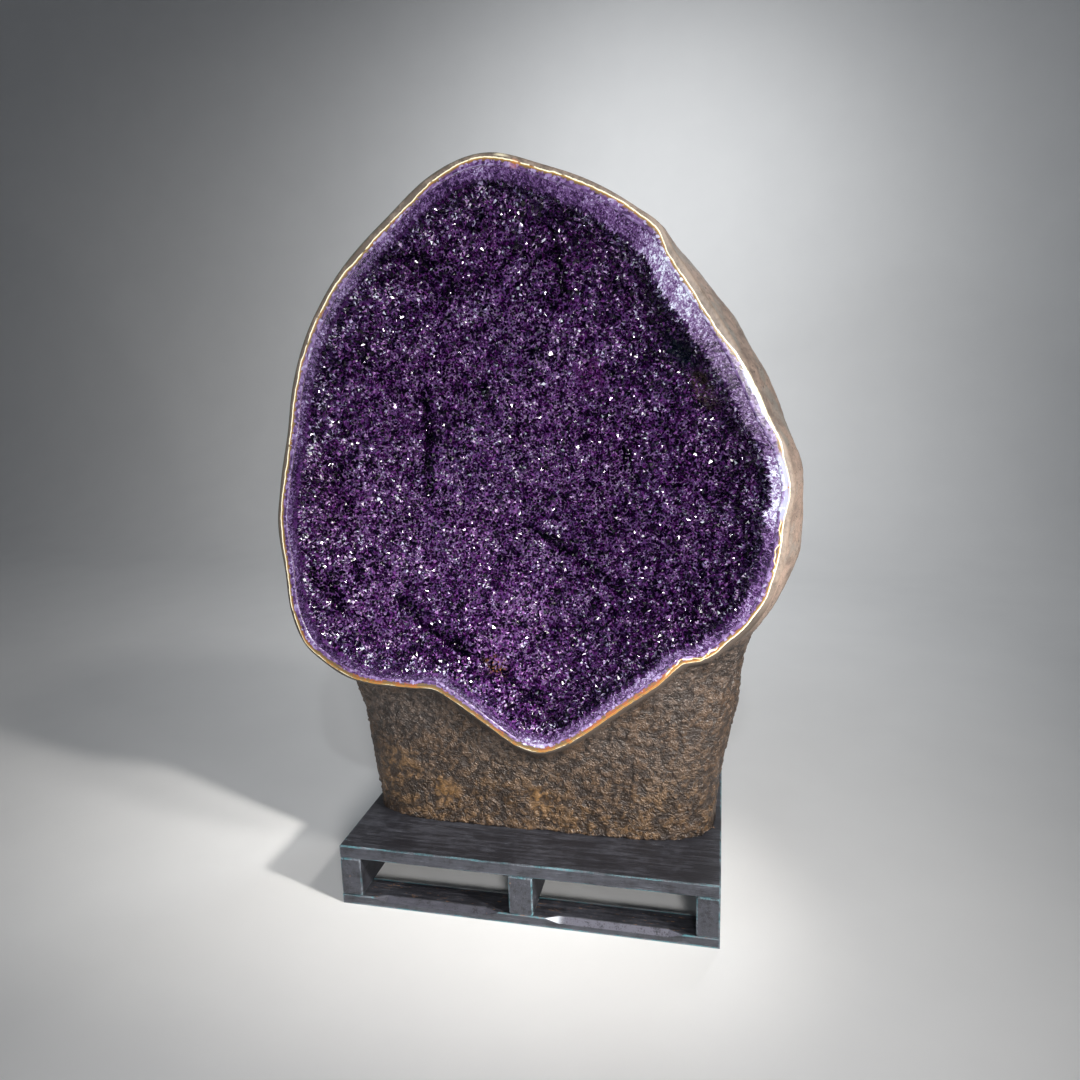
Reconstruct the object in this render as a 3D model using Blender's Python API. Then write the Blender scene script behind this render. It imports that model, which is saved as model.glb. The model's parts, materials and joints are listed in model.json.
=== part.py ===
"""A half geode lined with amethyst, standing on its own foot on a low black timber stand.

Metres, +Z up, the opening facing -Y. The origin is on the floor, under the middle of the
object's bounding box. The stone rests on the deck and nothing moves.
"""

import math

import bmesh
import bpy
import numpy as np
from mathutils import Vector, noise

# The stand
STAND_WIDTH = 1.000
STAND_DEPTH = 0.820
STAND_LEFT = -0.490
STAND_FRONT = -0.410
BOARD_THICK = 0.027
SLOT_HEIGHT = 0.108
DECK_THICK = 0.037
DECK_TOP = BOARD_THICK + SLOT_HEIGHT + DECK_THICK
SIDE_STRINGER_WIDTH = 0.058
CENTRE_STRINGER_WIDTH = 0.064
CENTRE_STRINGER_MIDDLE = 0.498
BOARD_DEPTH = 0.080
CHAMFER = 0.013
CHAMFER_INSET = 0.022
CHAMFER_TAPER = 0.045
TIMBER_EDGE = 0.003
GAP = 0.0003

# The sawn opening: its middle, its lean, and its outline measured from the middle
OPENING_X = STAND_LEFT + 0.497
OPENING_Y = STAND_FRONT + 0.123
OPENING_Z = 1.159
OPENING_LEAN = 0.024
OPENING_OUTLINE = (
    (-0.034, 0.738), (-0.101, 0.735), (-0.191, 0.700), (-0.312, 0.608), (-0.461, 0.468),
    (-0.537, 0.354), (-0.591, 0.215), (-0.615, 0.098), (-0.648, -0.041), (-0.662, -0.134),
    (-0.652, -0.261), (-0.642, -0.378), (-0.609, -0.464), (-0.562, -0.508), (-0.493, -0.551),
    (-0.433, -0.567), (-0.356, -0.574), (-0.269, -0.574), (-0.233, -0.581), (-0.173, -0.619),
    (-0.099, -0.672), (-0.024, -0.722), (0.029, -0.737), (0.082, -0.725), (0.238, -0.616),
    (0.351, -0.530), (0.408, -0.478), (0.459, -0.462), (0.517, -0.417), (0.589, -0.335),
    (0.627, -0.232), (0.643, -0.114), (0.652, -0.036), (0.625, 0.069), (0.588, 0.135),
    (0.531, 0.258), (0.454, 0.385), (0.378, 0.496), (0.345, 0.556), (0.291, 0.597),
    (0.184, 0.662), (0.074, 0.705),
)

# The shell behind the opening
SHELL_DEPTH = 0.625
SHELL_ROUNDNESS = 2.5
SHELL_EVENING = 0.50
SHELL_EVENING_DEPTH = 0.220
BULGE_LEAST = 0.012
BULGE_MORE = 0.080
BULGE_LEAST_AT = math.radians(15)
SHELL_LUMP = 0.011
SHELL_LUMP_SIZE = 0.170

# The foot under the shell, which grows wider from the deck upwards
FOOT_MIDDLE_X = STAND_LEFT + 0.495
FOOT_HALF_WIDTH = 0.491
FOOT_FLARE = 0.040
FOOT_FLARE_CURVE = 0.064
FOOT_FLARE_HEIGHT = 0.500
FOOT_FRONT = STAND_FRONT + 0.160
FOOT_BACK = STAND_FRONT + 0.700
FOOT_FRONT_LEAN = 0.030
FOOT_BACK_LEAN = 0.100
FOOT_SQUARENESS = 5.0
FOOT_SOFTENING = 2.2
FOOT_SHOULDER = 0.420
FOOT_DOME = 0.420
FOOT_SPARE_BELOW = 0.090
JOIN_SOFTNESS = 0.035
JOIN_SOFTENING = 0.140

# The polished edge and the hollow
EDGE_WIDTH = 0.030
EDGE_ROUND = 0.006
HOLLOW_DEPTH = 0.455
HOLLOW_ROUNDNESS = 2.3
CRUST_GAP_SCALE = 0.0015
CRUST_CUT_WIDTH = 0.046
CRUST_CUT_VARIATION = 0.010
CAVITY_DEPTH = 0.390
CAVITY_ROUNDNESS = 2.2
FOLD_HEIGHT = 0.022
FOLD_SIZE = 0.210

# Mesh sizes: points round the opening, and spacing of points on each surface
OPENING_POINTS = 100
OUTSIDE_SPACING = 0.052
HOLLOW_SPACING = 0.105
CRYSTAL_SPACING = 0.052
CRYSTAL_HEIGHT = 0.024
SEED = 41


def clear_scene():
    """Remove every object already in the scene."""
    for thing in list(bpy.data.objects):
        bpy.data.objects.remove(thing, do_unlink=True)


def material(name, colour, roughness, metallic=0.0):
    """A plain Principled material in the photograph's colour."""
    made = bpy.data.materials.new(name)
    made.use_nodes = True
    shader = made.node_tree.nodes["Principled BSDF"]
    shader.inputs["Base Color"].default_value = (*colour, 1.0)
    shader.inputs["Roughness"].default_value = roughness
    shader.inputs["Metallic"].default_value = metallic
    return made


def add_object(name, mesh_builder, surface):
    """Turn a bmesh into a named object with its material."""
    bmesh.ops.recalc_face_normals(mesh_builder, faces=mesh_builder.faces)
    mesh = bpy.data.meshes.new(name)
    mesh_builder.to_mesh(mesh)
    mesh_builder.free()
    mesh.materials.append(surface)
    made = bpy.data.objects.new(name, mesh)
    bpy.context.scene.collection.objects.link(made)
    return made


def opening_radius():
    """The outline's radius as a smooth periodic function of the angle, clockwise from the top."""
    points = np.array(OPENING_OUTLINE)
    angles = np.unwrap(np.arctan2(points[:, 0], points[:, 1]))
    angles = np.mod(angles, math.tau)
    radii = np.hypot(points[:, 0], points[:, 1])
    order = np.argsort(angles)
    angles = angles[order]
    radii = radii[order]
    angles = np.concatenate([angles[-2:] - math.tau, angles, angles[:2] + math.tau])
    radii = np.concatenate([radii[-2:], radii, radii[:2]])
    slopes = (radii[2:] - radii[:-2]) / (angles[2:] - angles[:-2])
    slopes = np.concatenate([[slopes[0]], slopes, [slopes[-1]]])

    def radius(angle):
        angle = np.mod(angle, math.tau)
        left = np.clip(np.searchsorted(angles, angle, side="right") - 1, 0, len(angles) - 2)
        span = angles[left + 1] - angles[left]
        t = (angle - angles[left]) / span
        rise = (2 * t**3 - 3 * t**2 + 1) * radii[left] + (3 * t**2 - 2 * t**3) * radii[left + 1]
        bend = (t**3 - 2 * t**2 + t) * slopes[left] + (t**3 - t**2) * slopes[left + 1]
        return rise + bend * span

    return radius


RADIUS = opening_radius()


def even_radius(angle):
    """The outline with its corners evened out, which the shell takes on behind the opening."""
    turns = np.linspace(-SHELL_EVENING, SHELL_EVENING, 21)
    weights = np.cos(turns / SHELL_EVENING * math.pi / 2) ** 2
    return float(np.sum(RADIUS(angle + turns) * weights) / np.sum(weights))


def opening_plane(x, z):
    """Y of the sawn face at a place on it."""
    ripple = 0.004 * np.sin(5.0 * x + 1.3) * np.sin(4.0 * z)
    return OPENING_Y + OPENING_LEAN * (z - OPENING_Z) + ripple


def lumps(point, size, octaves=2):
    """Soft noise between about -1 and 1, with lumps of the given size."""
    return noise.fractal(Vector(point) / size, 0.9, 2.0, octaves)


def bulge(angle):
    """How far the shell swells beyond the opening: least at the top right, most below."""
    away = math.sqrt(0.5 - 0.5 * math.cos(angle - BULGE_LEAST_AT))
    return BULGE_LEAST + BULGE_MORE * away * (0.8 + 0.2 * math.sin(angle))


def shell_distance(across, behind, angle):
    """Roughly how far a place is outside the shell, negative inside."""
    share = np.clip(behind / SHELL_DEPTH, 0.0, 1.0)
    evened = np.clip(behind / SHELL_EVENING_DEPTH, 0.0, 1.0)
    evened = evened * evened * (3 - 2 * evened)
    radius = float(RADIUS(angle)) * (1 - evened) + even_radius(angle) * evened
    swollen = radius + bulge(angle) * np.sin(math.pi * np.minimum(share / 0.8, 1.0))
    limit = swollen * (1.0 - share**SHELL_ROUNDNESS) ** (1 / SHELL_ROUNDNESS)
    return np.maximum((across / np.maximum(limit, 0.01) - 1.0) * 0.5, behind - SHELL_DEPTH)


def foot_distance(x, y, z):
    """Roughly how far a place is outside the foot, negative inside."""
    rise = np.clip((z - DECK_TOP) / FOOT_FLARE_HEIGHT, -0.3, 1.2)
    half_width = FOOT_HALF_WIDTH + FOOT_FLARE * rise + FOOT_FLARE_CURVE * rise * np.abs(rise)
    front = FOOT_FRONT - FOOT_FRONT_LEAN * rise
    back = FOOT_BACK - FOOT_BACK_LEAN * np.maximum(rise, 0.0)
    half_depth = (back - front) / 2
    middle = (back + front) / 2
    power = FOOT_SQUARENESS - FOOT_SOFTENING * np.clip(rise, 0.0, 1.0)
    size = np.abs((x - FOOT_MIDDLE_X) / half_width) ** power
    size = size + np.abs((y - middle) / half_depth) ** power
    size = size + (np.maximum(z - FOOT_SHOULDER, 0.0) / FOOT_DOME) ** power
    sides = (size ** (1 / power) - 1.0) * 0.3
    return np.maximum(sides, DECK_TOP - FOOT_SPARE_BELOW - z)


def blend(first, second, softness):
    """Smooth union of two distances."""
    share = np.clip(0.5 + 0.5 * (second - first) / softness, 0.0, 1.0)
    return second * (1 - share) + first * share - softness * share * (1 - share)


class OutsideSurface:
    """The stone's outside, from the edge of the opening (0) round to the middle of its back (1)."""

    COLUMNS = 144
    SAMPLES = 220
    KEPT = 120

    def __init__(self):
        self.angles = np.arange(self.COLUMNS) * math.tau / self.COLUMNS
        self.table = np.array([self.meridian(angle) for angle in self.angles])

    def meridian(self, angle):
        """Evenly spaced (across, y) pairs down one meridian, by bisection along rays."""
        radius = float(RADIUS(angle))
        pivot = OPENING_Y + 0.3
        edge_x = OPENING_X + radius * math.sin(angle)
        edge_y = float(opening_plane(edge_x, OPENING_Z + radius * math.cos(angle)))
        first = math.atan2(radius, pivot - edge_y)
        turn = np.linspace(first, math.pi, self.SAMPLES)
        near = np.full(self.SAMPLES, 0.05)
        far = np.full(self.SAMPLES, 2.2)
        for _ in range(40):
            middle = (near + far) / 2
            across = middle * np.sin(turn)
            y = pivot - middle * np.cos(turn)
            x = OPENING_X + across * math.sin(angle)
            z = OPENING_Z + across * math.cos(angle)
            behind = y - opening_plane(x, z)
            softness = JOIN_SOFTNESS + JOIN_SOFTENING * np.clip(behind / SHELL_DEPTH, 0.0, 1.0)
            shell = shell_distance(across, behind, angle)
            outside = blend(shell, foot_distance(x, y, z), softness) > 0
            far = np.where(outside, middle, far)
            near = np.where(outside, near, middle)
        across = near * np.sin(turn)
        y = pivot - near * np.cos(turn)
        across[0] = radius
        y[0] = edge_y
        across[-1] = 0.0
        length = np.concatenate([[0.0], np.cumsum(np.hypot(np.diff(across), np.diff(y)))])
        even = np.linspace(0.0, length[-1], self.KEPT)
        return np.stack([np.interp(even, length, across), np.interp(even, length, y)], axis=1)

    def point(self, angle, share):
        """World place at an angle round the opening and a share of the way to the back."""
        column = (angle % math.tau) / math.tau * self.COLUMNS
        row = share * (self.KEPT - 1)
        low = int(column) % self.COLUMNS
        high = (low + 1) % self.COLUMNS
        up = min(int(row), self.KEPT - 2)
        side = column - int(column)
        down = row - up
        rows = self.table[[low, low, high, high], [up, up + 1, up, up + 1]]
        mixed = (rows[0] * (1 - down) + rows[1] * down) * (1 - side)
        mixed = mixed + (rows[2] * (1 - down) + rows[3] * down) * side
        x = OPENING_X + mixed[0] * math.sin(angle)
        z = OPENING_Z + mixed[0] * math.cos(angle)
        if share == 0.0:
            across = float(RADIUS(angle))
            x = OPENING_X + across * math.sin(angle)
            z = OPENING_Z + across * math.cos(angle)
            return Vector((x, float(opening_plane(x, z)), z))
        place = Vector((x, mixed[1], z))
        centre = Vector((OPENING_X, OPENING_Y + 0.3, OPENING_Z - 0.1))
        fade = min(1.0, share * 6.0)
        return place + (place - centre).normalized() * SHELL_LUMP * fade * lumps(place, SHELL_LUMP_SIZE)


def bowl_point(angle, share, edge_radius, depth, roundness):
    """A place on a bowl behind the opening, from its edge (0) to its deepest middle (1)."""
    turn = share * math.pi / 2
    across = edge_radius * max(math.cos(turn), 0.0) ** (2 / roundness)
    x = OPENING_X + across * math.sin(angle)
    z = OPENING_Z + across * math.cos(angle)
    return Vector((x, float(opening_plane(x, z)) + depth * math.sin(turn) ** (2 / roundness), z))


def hollow_point(angle, share):
    """The stone's inner wall."""
    return bowl_point(angle, share, float(RADIUS(angle)) - EDGE_WIDTH, HOLLOW_DEPTH, HOLLOW_ROUNDNESS)


def crust_back_point(angle, share):
    """The back of the crust, just clear of the stone's inner wall."""
    middle = bowl_point(0.0, 0.0, 0.0, 0.0, HOLLOW_ROUNDNESS)
    place = hollow_point(angle, share)
    return place.lerp(middle, CRUST_GAP_SCALE)


def cut_width(angle):
    """Width of the crust's own sawn face round the opening."""
    return CRUST_CUT_WIDTH + CRUST_CUT_VARIATION * math.sin(2 * angle + 0.4) * math.sin(angle)


def cavity_point(angle, share):
    """The crust's front between the crystals, with the soft folds of the lining."""
    edge_radius = float(RADIUS(angle)) - EDGE_WIDTH - cut_width(angle)
    place = bowl_point(angle, share, edge_radius, CAVITY_DEPTH, CAVITY_ROUNDNESS)
    inward = Vector((OPENING_X, OPENING_Y - 0.1, OPENING_Z)) - place
    fade = min(1.0, share * 5.0)
    return place + inward.normalized() * FOLD_HEIGHT * fade * lumps(place, FOLD_SIZE)


def even_shares(point_at, spacing):
    """Row positions from edge to middle, about one spacing apart on the average meridian."""
    samples = np.linspace(0.0, 1.0, 61)
    lengths = np.zeros(60)
    for angle in np.arange(12) * math.tau / 12:
        places = [point_at(angle, share) for share in samples]
        lengths += [(b - a).length / 12 for a, b in zip(places, places[1:])]
    total = np.concatenate([[0.0], np.cumsum(lengths)])
    rows = max(3, round(total[-1] / spacing))
    return np.interp(np.linspace(0.0, total[-1], rows + 1), total, samples)


def ring_count(point_at, share, spacing):
    """How many points a ring takes at this spacing."""
    places = [point_at(angle, share) for angle in np.arange(48) * math.tau / 48]
    around = sum((b - a).length for a, b in zip(places, places[1:] + places[:1]))
    return max(6, round(around / spacing))


def zip_rings(outer, inner):
    """Triangles between two rings of (angle, vertex), whose counts may differ."""
    triangles = []
    i = 0
    j = 0
    while i < len(outer) or j < len(inner):
        next_outer = outer[i + 1][0] if i + 1 < len(outer) else outer[0][0] + math.tau
        next_inner = inner[j + 1][0] if j + 1 < len(inner) else inner[0][0] + math.tau
        a = outer[i % len(outer)][1]
        b = inner[j % len(inner)][1]
        if j >= len(inner) or (i < len(outer) and next_outer <= next_inner):
            triangles.append((a, outer[(i + 1) % len(outer)][1], b))
            i += 1
        else:
            triangles.append((a, inner[(j + 1) % len(inner)][1], b))
            j += 1
    return triangles


def sheet(mesh, edge_ring, point_at, spacing, jitter, chance):
    """Triangles from a ring of (angle, vertex) to the middle of a surface; returns the new faces."""
    shares = even_shares(point_at, spacing)
    faces = []
    ring = edge_ring
    for row, share in enumerate(shares[1:-1], start=1):
        count = ring_count(point_at, share, spacing)
        count = min(count, round(len(ring) * 1.6))
        step = math.tau / count
        drop = (shares[row + 1] - shares[row]) * jitter
        new_ring = []
        for k in range(count):
            angle = (k + 0.5 * (row % 2) + jitter * chance.uniform(-1, 1)) * step
            place = point_at(angle, share + drop * chance.uniform(-1, 1))
            new_ring.append((angle, mesh.verts.new(place)))
        new_ring.sort(key=lambda pair: pair[0])
        for corners in zip_rings(ring, new_ring):
            faces.append(mesh.faces.new(corners))
        ring = new_ring
    middle = mesh.verts.new(point_at(0.0, 1.0))
    for k in range(len(ring)):
        faces.append(mesh.faces.new((ring[k][1], ring[(k + 1) % len(ring)][1], middle)))
    return faces


def opening_ring(mesh, place_at):
    """A ring of (angle, vertex) with one point at each step round the opening."""
    angles = [k * math.tau / OPENING_POINTS for k in range(OPENING_POINTS)]
    return [(angle, mesh.verts.new(place_at(angle, k))) for k, angle in enumerate(angles)]


def band(mesh, first, second):
    """Quads between two opening rings."""
    for k in range(OPENING_POINTS):
        after = (k + 1) % OPENING_POINTS
        mesh.faces.new((first[k][1], first[after][1], second[after][1], second[k][1]))


def face_point(angle, inset, back):
    """A place on the sawn face, a given inset from its outer edge."""
    across = float(RADIUS(angle)) - inset
    x = OPENING_X + across * math.sin(angle)
    z = OPENING_Z + across * math.cos(angle)
    return Vector((x, float(opening_plane(x, z)) + back, z))


def make_geode_rock():
    """Shell, polished edge, hollow and foot as one stone, cut flat where it stands on the deck."""
    chance = np.random.default_rng(SEED)
    mesh = bmesh.new()
    outside = OutsideSurface()
    outer = opening_ring(mesh, lambda angle, k: outside.point(angle, 0.0) + Vector((0, EDGE_ROUND, 0)))
    brow = opening_ring(mesh, lambda angle, k: face_point(angle, EDGE_ROUND, 0.0))
    inner = opening_ring(mesh, lambda angle, k: hollow_point(angle, 0.0))
    band(mesh, outer, brow)
    band(mesh, brow, inner)
    sheet(mesh, outer, outside.point, OUTSIDE_SPACING, 0.20, chance)
    sheet(mesh, inner, hollow_point, HOLLOW_SPACING, 0.0, chance)
    bmesh.ops.recalc_face_normals(mesh, faces=mesh.faces)
    everything = mesh.verts[:] + mesh.edges[:] + mesh.faces[:]
    underside = DECK_TOP + GAP
    cut = bmesh.ops.bisect_plane(
        mesh,
        geom=everything,
        dist=0.0005,
        plane_co=(0, 0, underside),
        plane_no=(0, 0, -1),
        clear_outer=True,
    )
    for vertex in mesh.verts:
        vertex.co.z = max(vertex.co.z, underside)
    edges = [item for item in cut["geom_cut"] if isinstance(item, bmesh.types.BMEdge)]
    filled = bmesh.ops.contextual_create(mesh, geom=edges)
    bmesh.ops.triangulate(mesh, faces=filled["faces"])
    brown = material("geode rock", (0.115, 0.075, 0.046), 0.62)
    rock = add_object("geode_rock", mesh, brown)
    rock.data.shade_smooth()
    rock.data.set_sharp_from_angle(angle=math.radians(35))
    return rock


def make_amethyst_crust():
    """The crystals that line the hollow, grown together in one crust with a sawn front face."""
    chance = np.random.default_rng(SEED + 1)
    mesh = bmesh.new()
    back = opening_ring(mesh, lambda angle, k: crust_back_point(angle, 0.0))

    def lip(angle, k):
        """The inner edge of the sawn face, ragged where it meets the crystals."""
        ragged = 0.006 if k % 2 else -0.006
        return face_point(angle, EDGE_WIDTH + cut_width(angle) + ragged, 0.002)

    front = opening_ring(mesh, lip)
    band(mesh, back, front)
    still = np.random.default_rng(SEED)
    sheet(mesh, back, crust_back_point, HOLLOW_SPACING, 0.0, still)
    cells = sheet(mesh, front, cavity_point, CRYSTAL_SPACING, 0.24, chance)
    bmesh.ops.recalc_face_normals(mesh, faces=mesh.faces)
    for cell in cells:
        raise_crystal(mesh, cell, chance)
    purple = material("amethyst", (0.105, 0.028, 0.170), 0.16)
    return add_object("amethyst_crust", mesh, purple)


def raise_crystal(mesh, cell, chance):
    """Turn one cell of the lining into a three-faced crystal point."""
    tip = cell.calc_center_median()
    size = math.sqrt(cell.calc_area() / 0.433)
    height = min(CRYSTAL_HEIGHT, 0.5 * size) * chance.uniform(0.65, 1.0)
    sideways = Vector(chance.uniform(-1, 1, 3)) * 0.10 * size
    point = mesh.verts.new(tip + cell.normal * height + sideways)
    corners = list(cell.verts)
    mesh.faces.remove(cell)
    for k in range(len(corners)):
        mesh.faces.new((corners[k], corners[(k + 1) % len(corners)], point))


def make_timber(name, low, high, surface):
    """A rectangular length of timber with softened edges."""
    mesh = bmesh.new()
    bmesh.ops.create_cube(mesh, size=1.0)
    for vertex in mesh.verts:
        share = [0.5 + value for value in vertex.co]
        vertex.co = Vector([a + (b - a) * s for a, b, s in zip(low, high, share)])
    made = add_object(name, mesh, surface)
    bevel = made.modifiers.new("softened edges", "BEVEL")
    bevel.width = TIMBER_EDGE
    bevel.segments = 1
    return made


def stringer_spans():
    """Left and right side of each stringer, in order across the stand."""
    middle = STAND_LEFT + CENTRE_STRINGER_MIDDLE
    half = CENTRE_STRINGER_WIDTH / 2
    right = STAND_LEFT + STAND_WIDTH
    return {
        "left": (STAND_LEFT, STAND_LEFT + SIDE_STRINGER_WIDTH),
        "centre": (middle - half, middle + half),
        "right": (right - SIDE_STRINGER_WIDTH, right),
    }


def make_bottom_board(name, front, back, surface):
    """A board under the stringers, its upper outer edge chamfered inside each fork slot."""
    spans = stringer_spans()
    slots = ((spans["left"][1], spans["centre"][0]), (spans["centre"][1], spans["right"][0]))
    stations = [(STAND_LEFT, 0.0)]
    for low, high in slots:
        stations.append((low + CHAMFER_INSET, 0.0))
        stations.append((low + CHAMFER_INSET + CHAMFER_TAPER, CHAMFER))
        stations.append((high - CHAMFER_INSET - CHAMFER_TAPER, CHAMFER))
        stations.append((high - CHAMFER_INSET, 0.0))
    stations.append((STAND_LEFT + STAND_WIDTH, 0.0))
    inward = 1.0 if back > front else -1.0
    top = BOARD_THICK - GAP
    mesh = bmesh.new()
    sections = []
    for x, chamfer in stations:
        outline = (
            (front, 0.0),
            (front, top - chamfer),
            (front + inward * chamfer * 1.4, top),
            (back, top),
            (back, 0.0),
        )
        sections.append([mesh.verts.new((x, y, z)) for y, z in outline])
    for first, second in zip(sections, sections[1:]):
        for k in range(len(first)):
            after = (k + 1) % len(first)
            mesh.faces.new((first[k], first[after], second[after], second[k]))
    mesh.faces.new(sections[0])
    mesh.faces.new(sections[-1])
    bmesh.ops.remove_doubles(mesh, verts=mesh.verts, dist=1e-6)
    return add_object(name, mesh, surface)


def make_stand():
    """Deck, three stringers and two bottom boards in black painted timber."""
    black = material("black painted timber", (0.020, 0.020, 0.023), 0.55)
    right = STAND_LEFT + STAND_WIDTH
    back = STAND_FRONT + STAND_DEPTH
    deck_low = BOARD_THICK + SLOT_HEIGHT + GAP
    make_timber("deck", (STAND_LEFT, STAND_FRONT, deck_low), (right, back, DECK_TOP), black)
    for side, (low, high) in stringer_spans().items():
        corner = (low, STAND_FRONT, BOARD_THICK)
        opposite = (high, back, BOARD_THICK + SLOT_HEIGHT)
        make_timber("stringer_" + side, corner, opposite, black)
    make_bottom_board("bottom_board_front", STAND_FRONT, STAND_FRONT + BOARD_DEPTH, black)
    make_bottom_board("bottom_board_rear", back, back - BOARD_DEPTH, black)


def main():
    """Build the stone, its crystals and the stand."""
    clear_scene()
    make_geode_rock()
    make_amethyst_crust()
    make_stand()


main()
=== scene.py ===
"""Dressed scene of a half geode: amethyst lining, polished agate edge, rough foot, black stand."""

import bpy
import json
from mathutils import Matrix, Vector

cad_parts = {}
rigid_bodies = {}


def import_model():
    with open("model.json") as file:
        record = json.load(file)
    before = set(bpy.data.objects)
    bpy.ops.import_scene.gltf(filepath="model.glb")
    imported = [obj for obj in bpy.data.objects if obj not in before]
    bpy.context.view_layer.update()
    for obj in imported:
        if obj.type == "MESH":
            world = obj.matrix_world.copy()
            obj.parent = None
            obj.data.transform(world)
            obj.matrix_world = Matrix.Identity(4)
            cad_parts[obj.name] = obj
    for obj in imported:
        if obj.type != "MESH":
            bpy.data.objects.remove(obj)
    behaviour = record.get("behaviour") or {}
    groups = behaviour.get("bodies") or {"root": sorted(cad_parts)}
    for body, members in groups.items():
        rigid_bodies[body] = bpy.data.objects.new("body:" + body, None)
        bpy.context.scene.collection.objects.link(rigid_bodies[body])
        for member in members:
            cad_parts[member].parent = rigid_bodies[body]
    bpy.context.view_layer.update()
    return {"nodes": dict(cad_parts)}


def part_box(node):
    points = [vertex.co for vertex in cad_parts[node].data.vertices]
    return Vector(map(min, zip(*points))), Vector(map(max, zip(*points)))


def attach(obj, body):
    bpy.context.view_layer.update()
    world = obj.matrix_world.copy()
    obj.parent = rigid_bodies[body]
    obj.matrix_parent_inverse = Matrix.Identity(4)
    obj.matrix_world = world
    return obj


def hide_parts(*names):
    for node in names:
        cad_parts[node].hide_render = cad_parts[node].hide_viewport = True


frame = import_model()

import json
import logging
import math
from dataclasses import dataclass, field
from enum import Enum
from typing import Any, Callable

import bmesh
import bpy
import numpy as np
from mathutils import Matrix, Vector, noise

LOG = logging.getLogger("geode")
Colour = tuple[float, float, float]
Place = tuple[float, float, float]
Spot = tuple[Place, float]
Surface = Callable[[np.ndarray, np.ndarray], np.ndarray]


class Edge(Enum):
    """The two ways in which a value runs into another in a finish."""

    SOFT = "SMOOTHSTEP"
    STRAIGHT = "LINEAR"


class Value:
    """A socket of a node tree, with arithmetic written as Python operators."""

    def __init__(self, graph: "Graph", socket: bpy.types.NodeSocket) -> None:
        """Keep the socket and the graph that it belongs to."""
        self.graph = graph
        self.socket = socket

    def __add__(self, other: "Value | float") -> "Value":
        """Sum."""
        return self.graph.maths("ADD", self, other)

    def __sub__(self, other: "Value | float") -> "Value":
        """Difference."""
        return self.graph.maths("SUBTRACT", self, other)

    def __rsub__(self, other: float) -> "Value":
        """Difference with the number first."""
        return self.graph.maths("SUBTRACT", other, self)

    def __mul__(self, other: "Value | float") -> "Value":
        """Product."""
        return self.graph.maths("MULTIPLY", self, other)

    def __truediv__(self, other: "Value | float") -> "Value":
        """Quotient."""
        return self.graph.maths("DIVIDE", self, other)

    def __rtruediv__(self, other: float) -> "Value":
        """Quotient with the number first."""
        return self.graph.maths("DIVIDE", other, self)

    def __pow__(self, other: "Value | float") -> "Value":
        """Power."""
        return self.graph.maths("POWER", self, other)

    __radd__ = __add__
    __rmul__ = __mul__


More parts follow.
